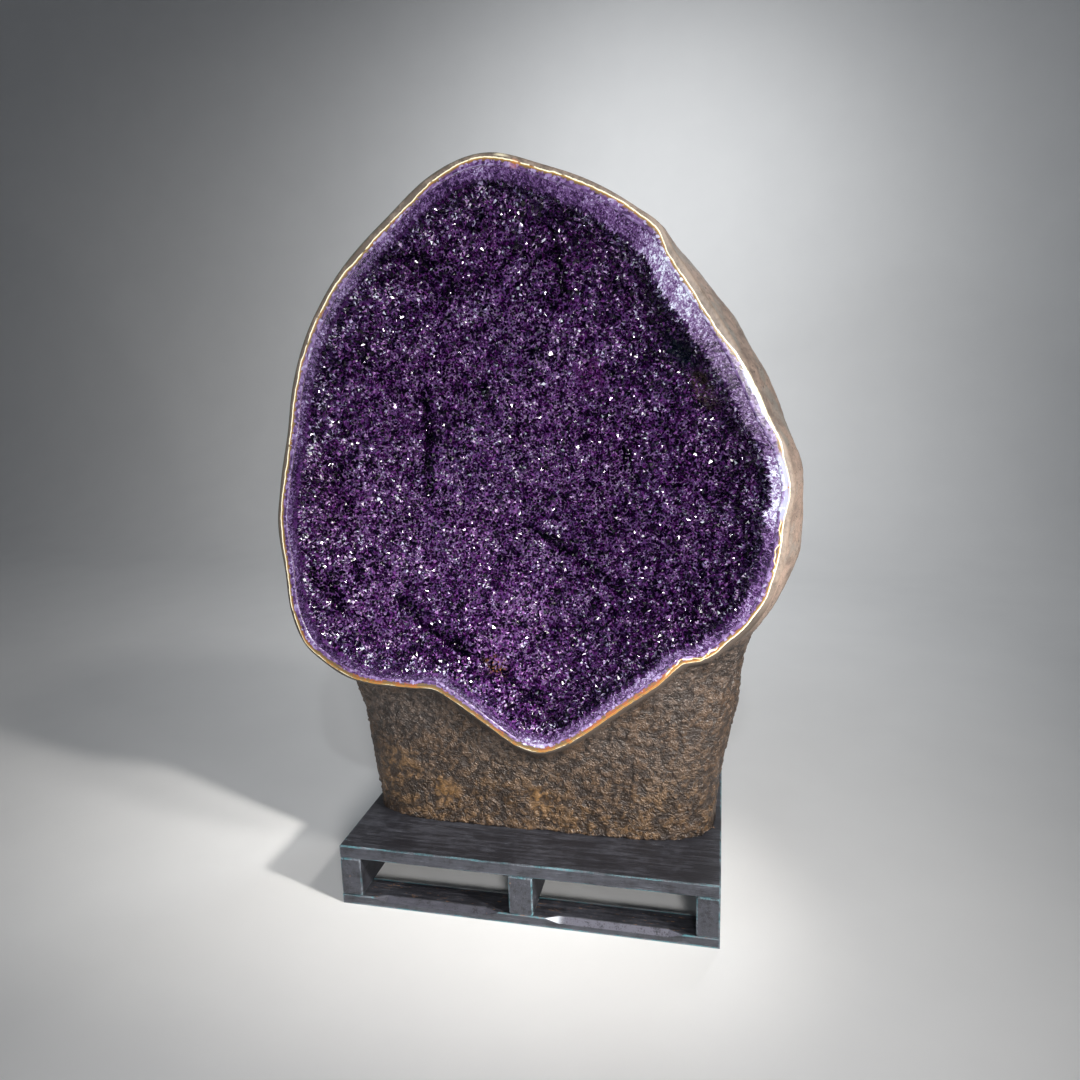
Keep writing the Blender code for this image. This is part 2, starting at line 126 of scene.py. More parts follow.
class Graph:
    """Builds the nodes of one material or one Geometry Nodes tree."""

    def __init__(self, tree: bpy.types.NodeTree) -> None:
        """Keep the tree that the nodes go into."""
        self.tree = tree

    def node(self, kind: str, settings: dict[str, Any], sockets: dict[Any, Any]) -> bpy.types.Node:
        """Add any node.

        Args:
            kind: the node's type.
            settings: its own settings; "stops" fills a ramp with (place, colour) pairs.
            sockets: values or links of its inputs, by name or index.

        Returns:
            The new node.
        """
        made = self.tree.nodes.new(kind)
        for name, value in settings.items():
            if name == "stops":
                self.fill_ramp(made.color_ramp, value)
            else:
                setattr(made, name, value)
        for name, value in sockets.items():
            if isinstance(value, Value):
                self.tree.links.new(value.socket, made.inputs[name])
            else:
                made.inputs[name].default_value = value
        return made

    @staticmethod
    def fill_ramp(ramp: bpy.types.ColorRamp, stops: list[tuple[float, Colour]]) -> None:
        """Give a ramp its stops.

        Args:
            ramp: the ramp.
            stops: (place, colour) pairs in rising order.
        """
        while len(ramp.elements) > 1:
            ramp.elements.remove(ramp.elements[-1])
        for index, (place, colour) in enumerate(stops):
            element = ramp.elements[0] if index == 0 else ramp.elements.new(place)
            element.position = place
            element.color = (*colour, 1.0)

    def value(self, kind: str, settings: dict[str, Any], sockets: dict[Any, Any],
              output: str | int = 0) -> Value:
        """Add any node and keep one of its outputs.

        Args:
            kind: the node's type.
            settings: its own settings.
            sockets: values or links of its inputs.
            output: name or index of the output.

        Returns:
            The output.
        """
        return Value(self, self.node(kind, settings, sockets).outputs[output])

    def maths(self, operation: str, *terms: "Value | float", clamp: bool = False) -> Value:
        """Add one Math node.

        Args:
            operation: the node's operation.
            terms: its inputs in order.
            clamp: whether the result is held between 0 and 1.

        Returns:
            The result.
        """
        settings = {"operation": operation, "use_clamp": clamp}
        return self.value("ShaderNodeMath", settings, dict(enumerate(terms)))

    def vector(self, operation: str, *terms: Any) -> Value:
        """Add one Vector Math node.

        Args:
            operation: the node's operation.
            terms: its inputs in order.

        Returns:
            The result.
        """
        return self.value("ShaderNodeVectorMath", {"operation": operation}, dict(enumerate(terms)))

    def scaled(self, vector: Value, factor: "Value | float") -> Value:
        """A vector made longer or shorter."""
        settings = {"operation": "SCALE"}
        return self.value("ShaderNodeVectorMath", settings, {0: vector, "Scale": factor})

    def length(self, vector: Value) -> Value:
        """Length of a vector."""
        return self.value("ShaderNodeVectorMath", {"operation": "LENGTH"}, {0: vector}, "Value")

    def step(self, source: Value, low: float, high: float, edge: Edge = Edge.SOFT) -> Value:
        """A value that goes from 0 to 1 as the source goes from low to high.

        Args:
            source: the value that is read.
            low: where the result is 0.
            high: where the result is 1; less than low for a falling one.
            edge: how it runs between.

        Returns:
            The result, between 0 and 1.
        """
        sockets = {"Value": source, "From Min": low, "From Max": high, "To Min": 0.0, "To Max": 1.0}
        if high < low:
            sockets.update({"From Min": high, "From Max": low, "To Min": 1.0, "To Max": 0.0})
        return self.value("ShaderNodeMapRange", {"interpolation_type": edge.value}, sockets)

    def noise(self, place: Value, scale: float, detail: float = 3.0, roughness: float = 0.55,
              distortion: float = 0.0) -> Value:
        """Soft noise between 0 and 1.

        Args:
            place: where it is read.
            scale: features per metre, about.
            detail: number of finer layers.
            roughness: weight of the finer layers.
            distortion: how far the pattern is warped.

        Returns:
            The noise.
        """
        sockets = {"Vector": place, "Scale": scale, "Detail": detail, "Roughness": roughness,
                   "Distortion": distortion}
        return self.value("ShaderNodeTexNoise", {}, sockets, 0)

    def cells(self, place: Value, scale: float, feature: str, output: str = "Distance") -> Value:
        """A cell pattern.

        Args:
            place: where it is read.
            scale: cells per metre.
            feature: which distance is measured.
            output: which output is kept.

        Returns:
            The pattern.
        """
        sockets = {"Vector": place, "Scale": scale}
        return self.value("ShaderNodeTexVoronoi", {"feature": feature}, sockets, output)

    def axis(self, place: Value, name: str) -> Value:
        """One coordinate of a place, or one channel of a colour."""
        return self.value("ShaderNodeSeparateXYZ", {}, {0: place}, name)

    def grains(self, place: Value, scale: float) -> Value:
        """A random number between 0 and 1 for each cell of a pattern."""
        return self.axis(self.cells(place, scale, "F1", "Color"), "X")

    def drift(self, place: Value, scale: float, detail: float = 2.0) -> Value:
        """Three noises at once, for pushing places about."""
        sockets = {"Vector": place, "Scale": scale, "Detail": detail}
        return self.value("ShaderNodeTexNoise", {}, sockets, 1)

    def ridges(self, pattern: Value) -> Value:
        """0 where a noise crosses its middle, rising to 1 on both sides."""
        return self.maths("MINIMUM", self.maths("ABSOLUTE", pattern - 0.5) * 5.0, 1.0)

    def together(self, shares: list[Value]) -> Value:
        """Two or more shares added up and held at 1."""
        total = shares[0]
        for share in shares[1:-1]:
            total = total + share
        return self.maths("ADD", total, shares[-1], clamp=True)

    def shifted(self, place: Value, factors: Place, shift: Place = (0.0, 0.0, 0.0)) -> Value:
        """A place stretched and shifted, for patterns with a grain.

        Args:
            place: the place.
            factors: stretch along each axis.
            shift: move after the stretch.

        Returns:
            The new place.
        """
        return self.vector("MULTIPLY_ADD", place, factors, shift)

    def ramp(self, source: Value, stops: list[tuple[float, Colour]]) -> Value:
        """A colour picked from stops.

        Args:
            source: value between 0 and 1.
            stops: (place, colour) pairs.

        Returns:
            The colour.
        """
        return self.value("ShaderNodeValToRGB", {"stops": stops}, {"Fac": source})

    def mix(self, share: "Value | float", first: Any, second: Any, blend: str = "MIX") -> Value:
        """Two colours mixed.

        Args:
            share: how much of the second shows.
            first: the first colour.
            second: the second colour.
            blend: how they are combined.

        Returns:
            The colour.
        """
        first = first if isinstance(first, Value) else (*first, 1.0)
        second = second if isinstance(second, Value) else (*second, 1.0)
        settings = {"data_type": "RGBA", "blend_type": blend}
        return self.value("ShaderNodeMix", settings, {0: share, 6: first, 7: second}, 2)

    def bump(self, height: Value, distance: float, below: Value | None = None) -> Value:
        """A normal raised by a height.

        Args:
            height: the height, between 0 and 1.
            distance: the relief's depth in metres.
            below: a normal that this one is laid over.

        Returns:
            The normal.
        """
        sockets = {"Height": height, "Distance": distance, "Strength": 1.0}
        if below is not None:
            sockets["Normal"] = below
        return self.value("ShaderNodeBump", {}, sockets)


class Finish:
    """A new material with its graph and its shader."""

    def __init__(self, name: str) -> None:
        """Start a material.

        Args:
            name: the material's name.
        """
        self.material = bpy.data.materials.new(name)
        self.material.use_nodes = True
        self.graph = Graph(self.material.node_tree)
        self.shader = self.material.node_tree.nodes["Principled BSDF"]

    def place(self) -> Value:
        """Where on the object, in metres."""
        return self.graph.value("ShaderNodeTexCoord", {}, {}, "Object")

    def spots(self, place: Value, spots: tuple[Spot, ...]) -> list[Value]:
        """The shares of several spots, each given by its middle and its reach."""
        return [self.near(place, middle, reach) for middle, reach in spots]

    def attribute(self, name: str) -> Value:
        """A number stored on the mesh."""
        return self.graph.value("ShaderNodeAttribute", {"attribute_name": name}, {}, "Fac")

    def near(self, place: Value, middle: Place, reach: float) -> Value:
        """1 at a middle, falling to 0 at a distance from it.

        Args:
            place: the place that is read.
            middle: the middle, in metres.
            reach: the distance at which nothing is left.

        Returns:
            The share.
        """
        apart = self.graph.length(self.graph.vector("SUBTRACT", place, middle))
        return self.graph.step(apart, reach, reach * 0.35)

    def set(self, **sockets: Any) -> None:
        """Set or link shader sockets, with underscores for spaces in their names."""
        for name, value in sockets.items():
            socket = self.shader.inputs[name.replace("_", " ")]
            if isinstance(value, Value):
                self.graph.tree.links.new(value.socket, socket)
            else:
                socket.default_value = value

    def absorb(self, colour: Colour, density: float) -> None:
        """Let the inside take up light.

        Args:
            colour: the colour that passes.
            density: how strongly the rest is taken up, per metre.
        """
        inside = self.graph.node("ShaderNodeVolumeAbsorption", {},
                                 {"Color": (*colour, 1.0), "Density": density})
        output = self.graph.tree.nodes["Material Output"]
        self.graph.tree.links.new(inside.outputs["Volume"], output.inputs["Volume"])


@dataclass
class Opening:
    """The sawn opening: its middle, its lean back, and its outline measured from the middle."""

    x: float = 0.007
    y: float = -0.287
    z: float = 1.159
    lean: float = 0.024
    ripple: float = 0.004
    outline: tuple[tuple[float, float], ...] = (
        (-0.034, 0.738), (-0.101, 0.735), (-0.191, 0.700), (-0.312, 0.608), (-0.461, 0.468),
        (-0.537, 0.354), (-0.591, 0.215), (-0.615, 0.098), (-0.648, -0.041), (-0.662, -0.134),
        (-0.652, -0.261), (-0.642, -0.378), (-0.609, -0.464), (-0.562, -0.508), (-0.493, -0.551),
        (-0.433, -0.567), (-0.356, -0.574), (-0.269, -0.574), (-0.233, -0.581), (-0.173, -0.619),
        (-0.099, -0.672), (-0.024, -0.722), (0.029, -0.737), (0.082, -0.725), (0.238, -0.616),
        (0.351, -0.530), (0.408, -0.478), (0.459, -0.462), (0.517, -0.417), (0.589, -0.335),
        (0.627, -0.232), (0.643, -0.114), (0.652, -0.036), (0.625, 0.069), (0.588, 0.135),
        (0.531, 0.258), (0.454, 0.385), (0.378, 0.496), (0.345, 0.556), (0.291, 0.597),
        (0.184, 0.662), (0.074, 0.705),
    )
    angles: np.ndarray = field(init=False)
    radii: np.ndarray = field(init=False)
    slopes: np.ndarray = field(init=False)

    def __post_init__(self) -> None:
        """Prepare the outline as a smooth periodic curve of the angle, clockwise from the top."""
        points = np.array(self.outline)
        angles = np.mod(np.arctan2(points[:, 0], points[:, 1]), math.tau)
        order = np.argsort(angles)
        angles = angles[order]
        radii = np.hypot(points[:, 0], points[:, 1])[order]
        self.angles = np.concatenate([angles[-2:] - math.tau, angles, angles[:2] + math.tau])
        self.radii = np.concatenate([radii[-2:], radii, radii[:2]])
        slopes = (self.radii[2:] - self.radii[:-2]) / (self.angles[2:] - self.angles[:-2])
        self.slopes = np.concatenate([slopes[:1], slopes, slopes[-1:]])

    def radius(self, angle: np.ndarray) -> np.ndarray:
        """Distance from the middle to the outline.

        Args:
            angle: angles clockwise from the top.

        Returns:
            The radius at each angle.
        """
        angle = np.mod(angle, math.tau)
        left = np.searchsorted(self.angles, angle, side="right") - 1
        left = np.clip(left, 0, len(self.angles) - 2)
        span = self.angles[left + 1] - self.angles[left]
        t = (angle - self.angles[left]) / span
        rise = (2 * t**3 - 3 * t**2 + 1) * self.radii[left]
        rise = rise + (3 * t**2 - 2 * t**3) * self.radii[left + 1]
        bend = (t**3 - 2 * t**2 + t) * self.slopes[left] + (t**3 - t**2) * self.slopes[left + 1]
        return rise + bend * span

    def plane(self, x: np.ndarray, z: np.ndarray) -> np.ndarray:
        """Y of the sawn face.

        Args:
            x: across.
            z: up.

        Returns:
            Y at each place.
        """
        ripple = self.ripple * np.sin(5.0 * x + 1.3) * np.sin(4.0 * z)
        return self.y + self.lean * (z - self.z) + ripple

    def spread(self, angle: np.ndarray, across: np.ndarray, back: np.ndarray | float) -> np.ndarray:
        """Places at a distance from the middle and behind the sawn face.

        Args:
            angle: angles clockwise from the top.
            across: distance from the middle, along the face.
            back: distance behind the face.

        Returns:
            One row of x, y, z for each angle.
        """
        x = self.x + across * np.sin(angle)
        z = self.z + across * np.cos(angle)
        return np.stack([x, self.plane(x, z) + back, z], axis=-1)

    def face(self, angle: np.ndarray, inset: np.ndarray | float,
             back: np.ndarray | float) -> np.ndarray:
        """Places on the sawn face, inset from its outer edge.

        Args:
            angle: angles clockwise from the top.
            inset: distance in from the outline.
            back: distance behind the face.

        Returns:
            One row of x, y, z for each angle.
        """
        return self.spread(angle, self.radius(angle) - inset, back)


def lumps(places: np.ndarray, size: float, octaves: int = 2) -> np.ndarray:
    """Soft noise between about -1 and 1.

    Args:
        places: rows of x, y, z.
        size: size of the largest lumps.
        octaves: number of layers.

    Returns:
        One number for each place.
    """
    scaled = places / size
    return np.array([noise.fractal(Vector(row), 0.9, 2.0, octaves) for row in scaled])


def smooth(value: np.ndarray, low: float, high: float) -> np.ndarray:
    """Go smoothly from 0 at low to 1 at high.

    Args:
        value: the numbers that are read.
        low: where the result is 0.
        high: where the result is 1.

    Returns:
        The results.
    """
    share = np.clip((value - low) / (high - low), 0.0, 1.0)
    return share * share * (3 - 2 * share)


def all_round(count: int) -> np.ndarray:
    """Evenly spaced angles, clockwise from the top."""
    return np.arange(count) * math.tau / count


@dataclass
class Shell:
    """The outside of the stone: the shell behind the opening, blended into the foot under it."""

    opening: Opening
    deck_top: float = 0.172
    depth: float = 0.625
    roundness: float = 2.5
    evening: float = 0.50
    evening_depth: float = 0.220
    evening_samples: int = 21
    bulge_least: float = 0.012
    bulge_more: float = 0.080
    bulge_least_at: float = math.radians(15)
    lump: float = 0.011
    lump_size: float = 0.170
    foot_middle: float = 0.005
    foot_half_width: float = 0.491
    foot_flare: float = 0.040
    foot_flare_curve: float = 0.064
    foot_height: float = 0.5
    foot_front: float = -0.250
    foot_front_lean: float = 0.030
    foot_back: float = 0.290
    foot_back_lean: float = 0.100
    foot_squareness: float = 5.0
    foot_rounding: float = 2.2
    foot_top: float = 0.42
    foot_buried: float = 0.090
    softness: float = 0.035
    softening: float = 0.140
    pivot_back: float = 0.3
    pivot_drop: float = 0.1
    nearest: float = 0.05
    farthest: float = 2.2
    halvings: int = 30
    columns: int = 288
    samples: int = 260
    kept: int = 200
    table: np.ndarray = field(init=False)

    def __post_init__(self) -> None:
        """Work out all meridians once."""
        self.table = self.meridians(all_round(self.columns))

    def evened(self, angle: np.ndarray) -> np.ndarray:
        """The outline with its corners evened out.

        Args:
            angle: angles clockwise from the top.

        Returns:
            The evened radius.
        """
        turns = np.linspace(-self.evening, self.evening, self.evening_samples)
        weights = np.cos(turns / self.evening * math.pi / 2) ** 2
        total = sum(self.opening.radius(angle + turn) * weight
                    for turn, weight in zip(turns, weights))
        return total / np.sum(weights)

    def shell_distance(self, across: np.ndarray, behind: np.ndarray,
                       angle: np.ndarray) -> np.ndarray:
        """Roughly how far a place is outside the shell, negative inside.

        Args:
            across: distance from the axis through the opening's middle.
            behind: distance behind the sawn face.
            angle: angle clockwise from the top.

        Returns:
            The distance.
        """
        away = np.sqrt(0.5 - 0.5 * np.cos(angle - self.bulge_least_at))
        bulge = self.bulge_least + self.bulge_more * away * (0.8 + 0.2 * np.sin(angle))
        share = np.clip(behind / self.depth, 0.0, 1.0)
        evened = smooth(behind, 0.0, self.evening_depth)
        radius = self.opening.radius(angle) * (1 - evened) + self.evened(angle) * evened
        swollen = radius + bulge * np.sin(math.pi * np.minimum(share / 0.8, 1.0))
        limit = swollen * (1.0 - share**self.roundness) ** (1 / self.roundness)
        return np.maximum((across / np.maximum(limit, 0.01) - 1.0) * 0.5, behind - self.depth)

    def foot_distance(self, x: np.ndarray, y: np.ndarray, z: np.ndarray) -> np.ndarray:
        """Roughly how far a place is outside the foot, negative inside.

        Args:
            x: across.
            y: back.
            z: up.

        Returns:
            The distance.
        """
        rise = np.clip((z - self.deck_top) / self.foot_height, -0.3, 1.2)
        half_width = self.foot_half_width + self.foot_flare * rise
        half_width = half_width + self.foot_flare_curve * rise * np.abs(rise)
        front = self.foot_front - self.foot_front_lean * rise
        back = self.foot_back - self.foot_back_lean * np.maximum(rise, 0.0)
        power = self.foot_squareness - self.foot_rounding * np.clip(rise, 0.0, 1.0)
        size = np.abs((x - self.foot_middle) / half_width) ** power
        size = size + np.abs((y - (back + front) / 2) / ((back - front) / 2)) ** power
        size = size + (np.maximum(z - self.foot_top, 0.0) / self.foot_top) ** power
        return np.maximum((size ** (1 / power) - 1.0) * 0.3, self.deck_top - self.foot_buried - z)

    def meridians(self, angles: np.ndarray) -> np.ndarray:
        """Evenly spaced (across, y) pairs down each meridian, by bisection along rays.

        Args:
            angles: the meridians' angles.

        Returns:
            An array of meridians, kept points and two numbers.
        """
        angle = angles[:, None]
        radius = self.opening.radius(angle)
        pivot = self.opening.y + self.pivot_back
        edge = self.opening.spread(angles, radius[:, 0], 0.0)
        first = np.arctan2(radius[:, 0], pivot - edge[:, 1])
        turn = first[:, None] + (math.pi - first[:, None]) * np.linspace(0, 1, self.samples)
        near = np.full(turn.shape, self.nearest)
        far = np.full(turn.shape, self.farthest)
        for _ in range(self.halvings):
            middle = (near + far) / 2
            across = middle * np.sin(turn)
            y = pivot - middle * np.cos(turn)
            x = self.opening.x + across * np.sin(angle)
            z = self.opening.z + across * np.cos(angle)
            behind = y - self.opening.plane(x, z)
            softness = self.softness + self.softening * np.clip(behind / self.depth, 0.0, 1.0)
            shell = self.shell_distance(across, behind, angle)
            foot = self.foot_distance(x, y, z)
            share = np.clip(0.5 + 0.5 * (foot - shell) / softness, 0.0, 1.0)
            joined = foot * (1 - share) + shell * share - softness * share * (1 - share)
            far = np.where(joined > 0, middle, far)
            near = np.where(joined > 0, near, middle)
        across = near * np.sin(turn)
        y = pivot - near * np.cos(turn)
        across[:, 0] = radius[:, 0]
        y[:, 0] = edge[:, 1]
        across[:, -1] = 0.0
        steps = np.hypot(np.diff(across, axis=1), np.diff(y, axis=1))
        table = np.zeros((len(angles), self.kept, 2))
        for row, step in enumerate(steps):
            length = np.concatenate([[0.0], np.cumsum(step)])
            even = np.linspace(0.0, length[-1], self.kept)
            table[row, :, 0] = np.interp(even, length, across[row])
            table[row, :, 1] = np.interp(even, length, y[row])
        return table

    def outside(self, angle: np.ndarray, share: np.ndarray) -> np.ndarray:
        """Places on the outside, from the edge of the opening (0) to the middle of the back (1).

        Args:
            angle: angles clockwise from the top.
            share: share of the way along the meridian.

        Returns:
            One row of x, y, z for each angle.
        """
        column = np.mod(angle, math.tau) / math.tau * self.columns
        low = column.astype(int) % self.columns
        high = (low + 1) % self.columns
        side = (column - column.astype(int))[:, None]
        row = share * (self.kept - 1)
        up = np.minimum(row.astype(int), self.kept - 2)
        down = (row - up)[:, None]
        left = self.table[low, up] * (1 - down) + self.table[low, up + 1] * down
        right = self.table[high, up] * (1 - down) + self.table[high, up + 1] * down
        mixed = left * (1 - side) + right * side
        x = self.opening.x + mixed[:, 0] * np.sin(angle)
        z = self.opening.z + mixed[:, 0] * np.cos(angle)
        places = np.stack([x, mixed[:, 1], z], axis=1)
        rim = share <= 0.0
        places[rim] = self.opening.face(angle, 0.0, 0.0)[rim]
        inner = (self.opening.x, self.opening.y + self.pivot_back, self.opening.z - self.pivot_drop)
        outward = places - np.array(inner)
        outward /= np.linalg.norm(outward, axis=1)[:, None]
        fade = np.minimum(1.0, share * 6.0)
        return places + outward * (self.lump * fade * lumps(places, self.lump_size))[:, None]


@dataclass(frozen=True)
class Crease:
    """A dent along a line of points."""

    points: tuple[Place, ...]
    depth: float
    reach: float
    uncounted: float = 0.8

    def dent(self, places: np.ndarray, inward: np.ndarray) -> np.ndarray:
        """How far each place is into the crease, measured across the way in.

        Args:
            places: rows of x, y, z.
            inward: the way into the hollow at each place, of length one.

        Returns:
            Shares, 1 along the crease.
        """
        nearest = np.full(len(places), np.inf)
        for start, end in zip(np.array(self.points), np.array(self.points[1:])):
            way = end - start
            share = np.clip((places - start) @ way / (way @ way), 0.0, 1.0)
            off = places - start - share[:, None] * way
            off -= self.uncounted * np.sum(off * inward, axis=1)[:, None] * inward
            nearest = np.minimum(nearest, np.linalg.norm(off, axis=1))
        return 1.0 - smooth(nearest, 0.0, self.reach)


@dataclass
class Bowl:
    """A bowl behind the opening, from an edge inset from the outline to a deepest middle."""

    opening: Opening
    depth: float
    roundness: float
    inset: Callable[[np.ndarray], np.ndarray]
    fold_height: float = 0.0
    fold_size: float = 0.210
    lump_height: float = 0.0
    lump_size: float = 0.070
    knot_height: float = 0.0
    knot_size: float = 0.034
    still: float = 0.02
    free: float = 0.12
    creases: tuple[Crease, ...] = ()

    def place(self, angle: np.ndarray, share: np.ndarray) -> np.ndarray:
        """Places on the bowl, from its edge (0) to its deepest middle (1).

        Args:
            angle: angles clockwise from the top.
            share: share of the way in.

        Returns:
            One row of x, y, z for each angle.
        """
        turn = share * math.pi / 2
        edge = self.opening.radius(angle) - self.inset(angle)
        across = edge * np.maximum(np.cos(turn), 0.0) ** (2 / self.roundness)
        back = self.depth * np.sin(turn) ** (2 / self.roundness)
        places = self.opening.spread(angle, across, back)
        if self.fold_height == 0.0:
            return places
        inward = self.inward(places)
        rise = self.fold_height * np.minimum(1.0, share * 5.0) * lumps(places, self.fold_size)
        free = smooth(share, self.still, self.free)
        if self.lump_height > 0.0:
            rise = rise + self.lump_height * free * lumps(places + 7.0, self.lump_size, 3)
        places = places + inward * rise[:, None]
        rise = self.knot_height * free * self.knots(places)
        for crease in self.creases:
            rise = rise - crease.depth * free * crease.dent(places, inward)
        return places + inward * rise[:, None]

    def inward(self, places: np.ndarray) -> np.ndarray:
        """The way into the hollow at each place, of length one."""
        way = np.array([self.opening.x, self.opening.y - 0.1, self.opening.z]) - places
        return way / np.linalg.norm(way, axis=1)[:, None]

    def dents(self, places: np.ndarray) -> np.ndarray:
        """How far each place is into any crease, from 0 to 1."""
        inward = self.inward(places)
        return np.minimum(1.0, sum(crease.dent(places, inward) for crease in self.creases) * 1.4)

    def knots(self, places: np.ndarray) -> np.ndarray:
        """How far places stand on a cluster (towards 1) or between clusters (towards -1)."""
        return np.clip(lumps(places + 11.0, self.knot_size, 2) * 1.6, -1.0, 1.0)


@dataclass
class Sheet:
    """Triangles from a ring of points to the middle of a surface, about evenly spaced."""

    surface: Surface
    spacing: float
    jitter: float
    seed: int

    def shares(self) -> np.ndarray:
        """Row positions from edge to middle, one spacing apart on the average meridian."""
        samples = np.linspace(0.0, 1.0, 61)
        lengths = np.zeros(60)
        for angle in all_round(12):
            places = self.surface(np.full(61, angle), samples)
            lengths += np.linalg.norm(np.diff(places, axis=0), axis=1) / 12
        total = np.concatenate([[0.0], np.cumsum(lengths)])
        rows = max(3, round(total[-1] / self.spacing))
        return np.interp(np.linspace(0.0, total[-1], rows + 1), total, samples)

    def around(self, share: float) -> int:
        """How many points a ring takes.

        Args:
            share: the ring's share of the way in.

        Returns:
            The number of points.
        """
        angles = np.arange(49) * math.tau / 48
        places = self.surface(angles, np.full(49, share))
        length = np.linalg.norm(np.diff(places, axis=0), axis=1).sum()
        return max(6, round(length / self.spacing))

    @staticmethod
    def zipped(outer: list[tuple[float, int]], inner: list[tuple[float, int]]
               ) -> list[tuple[int, ...]]:
        """Triangles between two rings whose counts may differ.

        Args:
            outer: (angle, vertex) pairs of the outer ring.
            inner: (angle, vertex) pairs of the inner ring.

        Returns:
            The triangles.
        """
        triangles = []
        i = 0
        j = 0
        while i < len(outer) or j < len(inner):
            next_outer = outer[i + 1][0] if i + 1 < len(outer) else outer[0][0] + math.tau
            next_inner = inner[j + 1][0] if j + 1 < len(inner) else inner[0][0] + math.tau
            a = outer[i % len(outer)][1]
            b = inner[j % len(inner)][1]
            if j >= len(inner) or (i < len(outer) and next_outer <= next_inner):
                triangles.append((a, b, outer[(i + 1) % len(outer)][1]))
                i += 1
            else:
                triangles.append((a, b, inner[(j + 1) % len(inner)][1]))
                j += 1
        return triangles

    def build(self, ring: list[tuple[float, int]], first: int, skip: int
              ) -> tuple[np.ndarray, list[tuple[int, ...]], np.ndarray]:
        """Fill the surface inside a ring that is already made.

        Args:
            ring: (angle, vertex) pairs of the edge, in rising angle.
            first: number of the first new vertex.
            skip: which row comes next after the ring.

        Returns:
            The new places, the triangles, and each new place's share of the way in.
        """
        chance = np.random.default_rng(self.seed)
        shares = self.shares()
        places = []
        faces = []
        depths = []
        for row in range(skip, len(shares) - 1):
            share = shares[row]
            count = min(self.around(share), round(len(ring) * 1.6))
            step = math.tau / count
            turns = np.arange(count) + 0.5 * (row % 2)
            turns = turns + self.jitter * chance.uniform(-1, 1, count)
            turns = np.sort(turns * step)
            drop = (shares[row + 1] - shares[row]) * self.jitter
            depth = share + drop * chance.uniform(-1, 1, count)
            places.append(self.surface(turns, depth))
            depths.append(depth)
            following = [(turn, first + k) for k, turn in enumerate(turns)]
            faces.extend(self.zipped(ring, following))
            ring = following
            first += count
        places.append(self.surface(np.zeros(1), np.ones(1)))
        depths.append(np.ones(1))
        for k in range(len(ring)):
            faces.append((ring[k][1], first, ring[(k + 1) % len(ring)][1]))
        return np.concatenate(places), faces, np.concatenate(depths)


def hidden_wall(opening: Opening, depth: float, inset: float, seed: int) -> Sheet:
    """A plain coarse sheet behind the crystals, where it is never seen.

    Args:
        opening: the sawn opening.
        depth: its depth behind the sawn face.
        inset: distance of its edge from the outline.
        seed: seed of the sheet.

    Returns:
        The sheet.
    """
    bowl = Bowl(opening, depth, 2.3, lambda _: inset)
    return Sheet(bowl.place, 0.080, 0.0, seed)


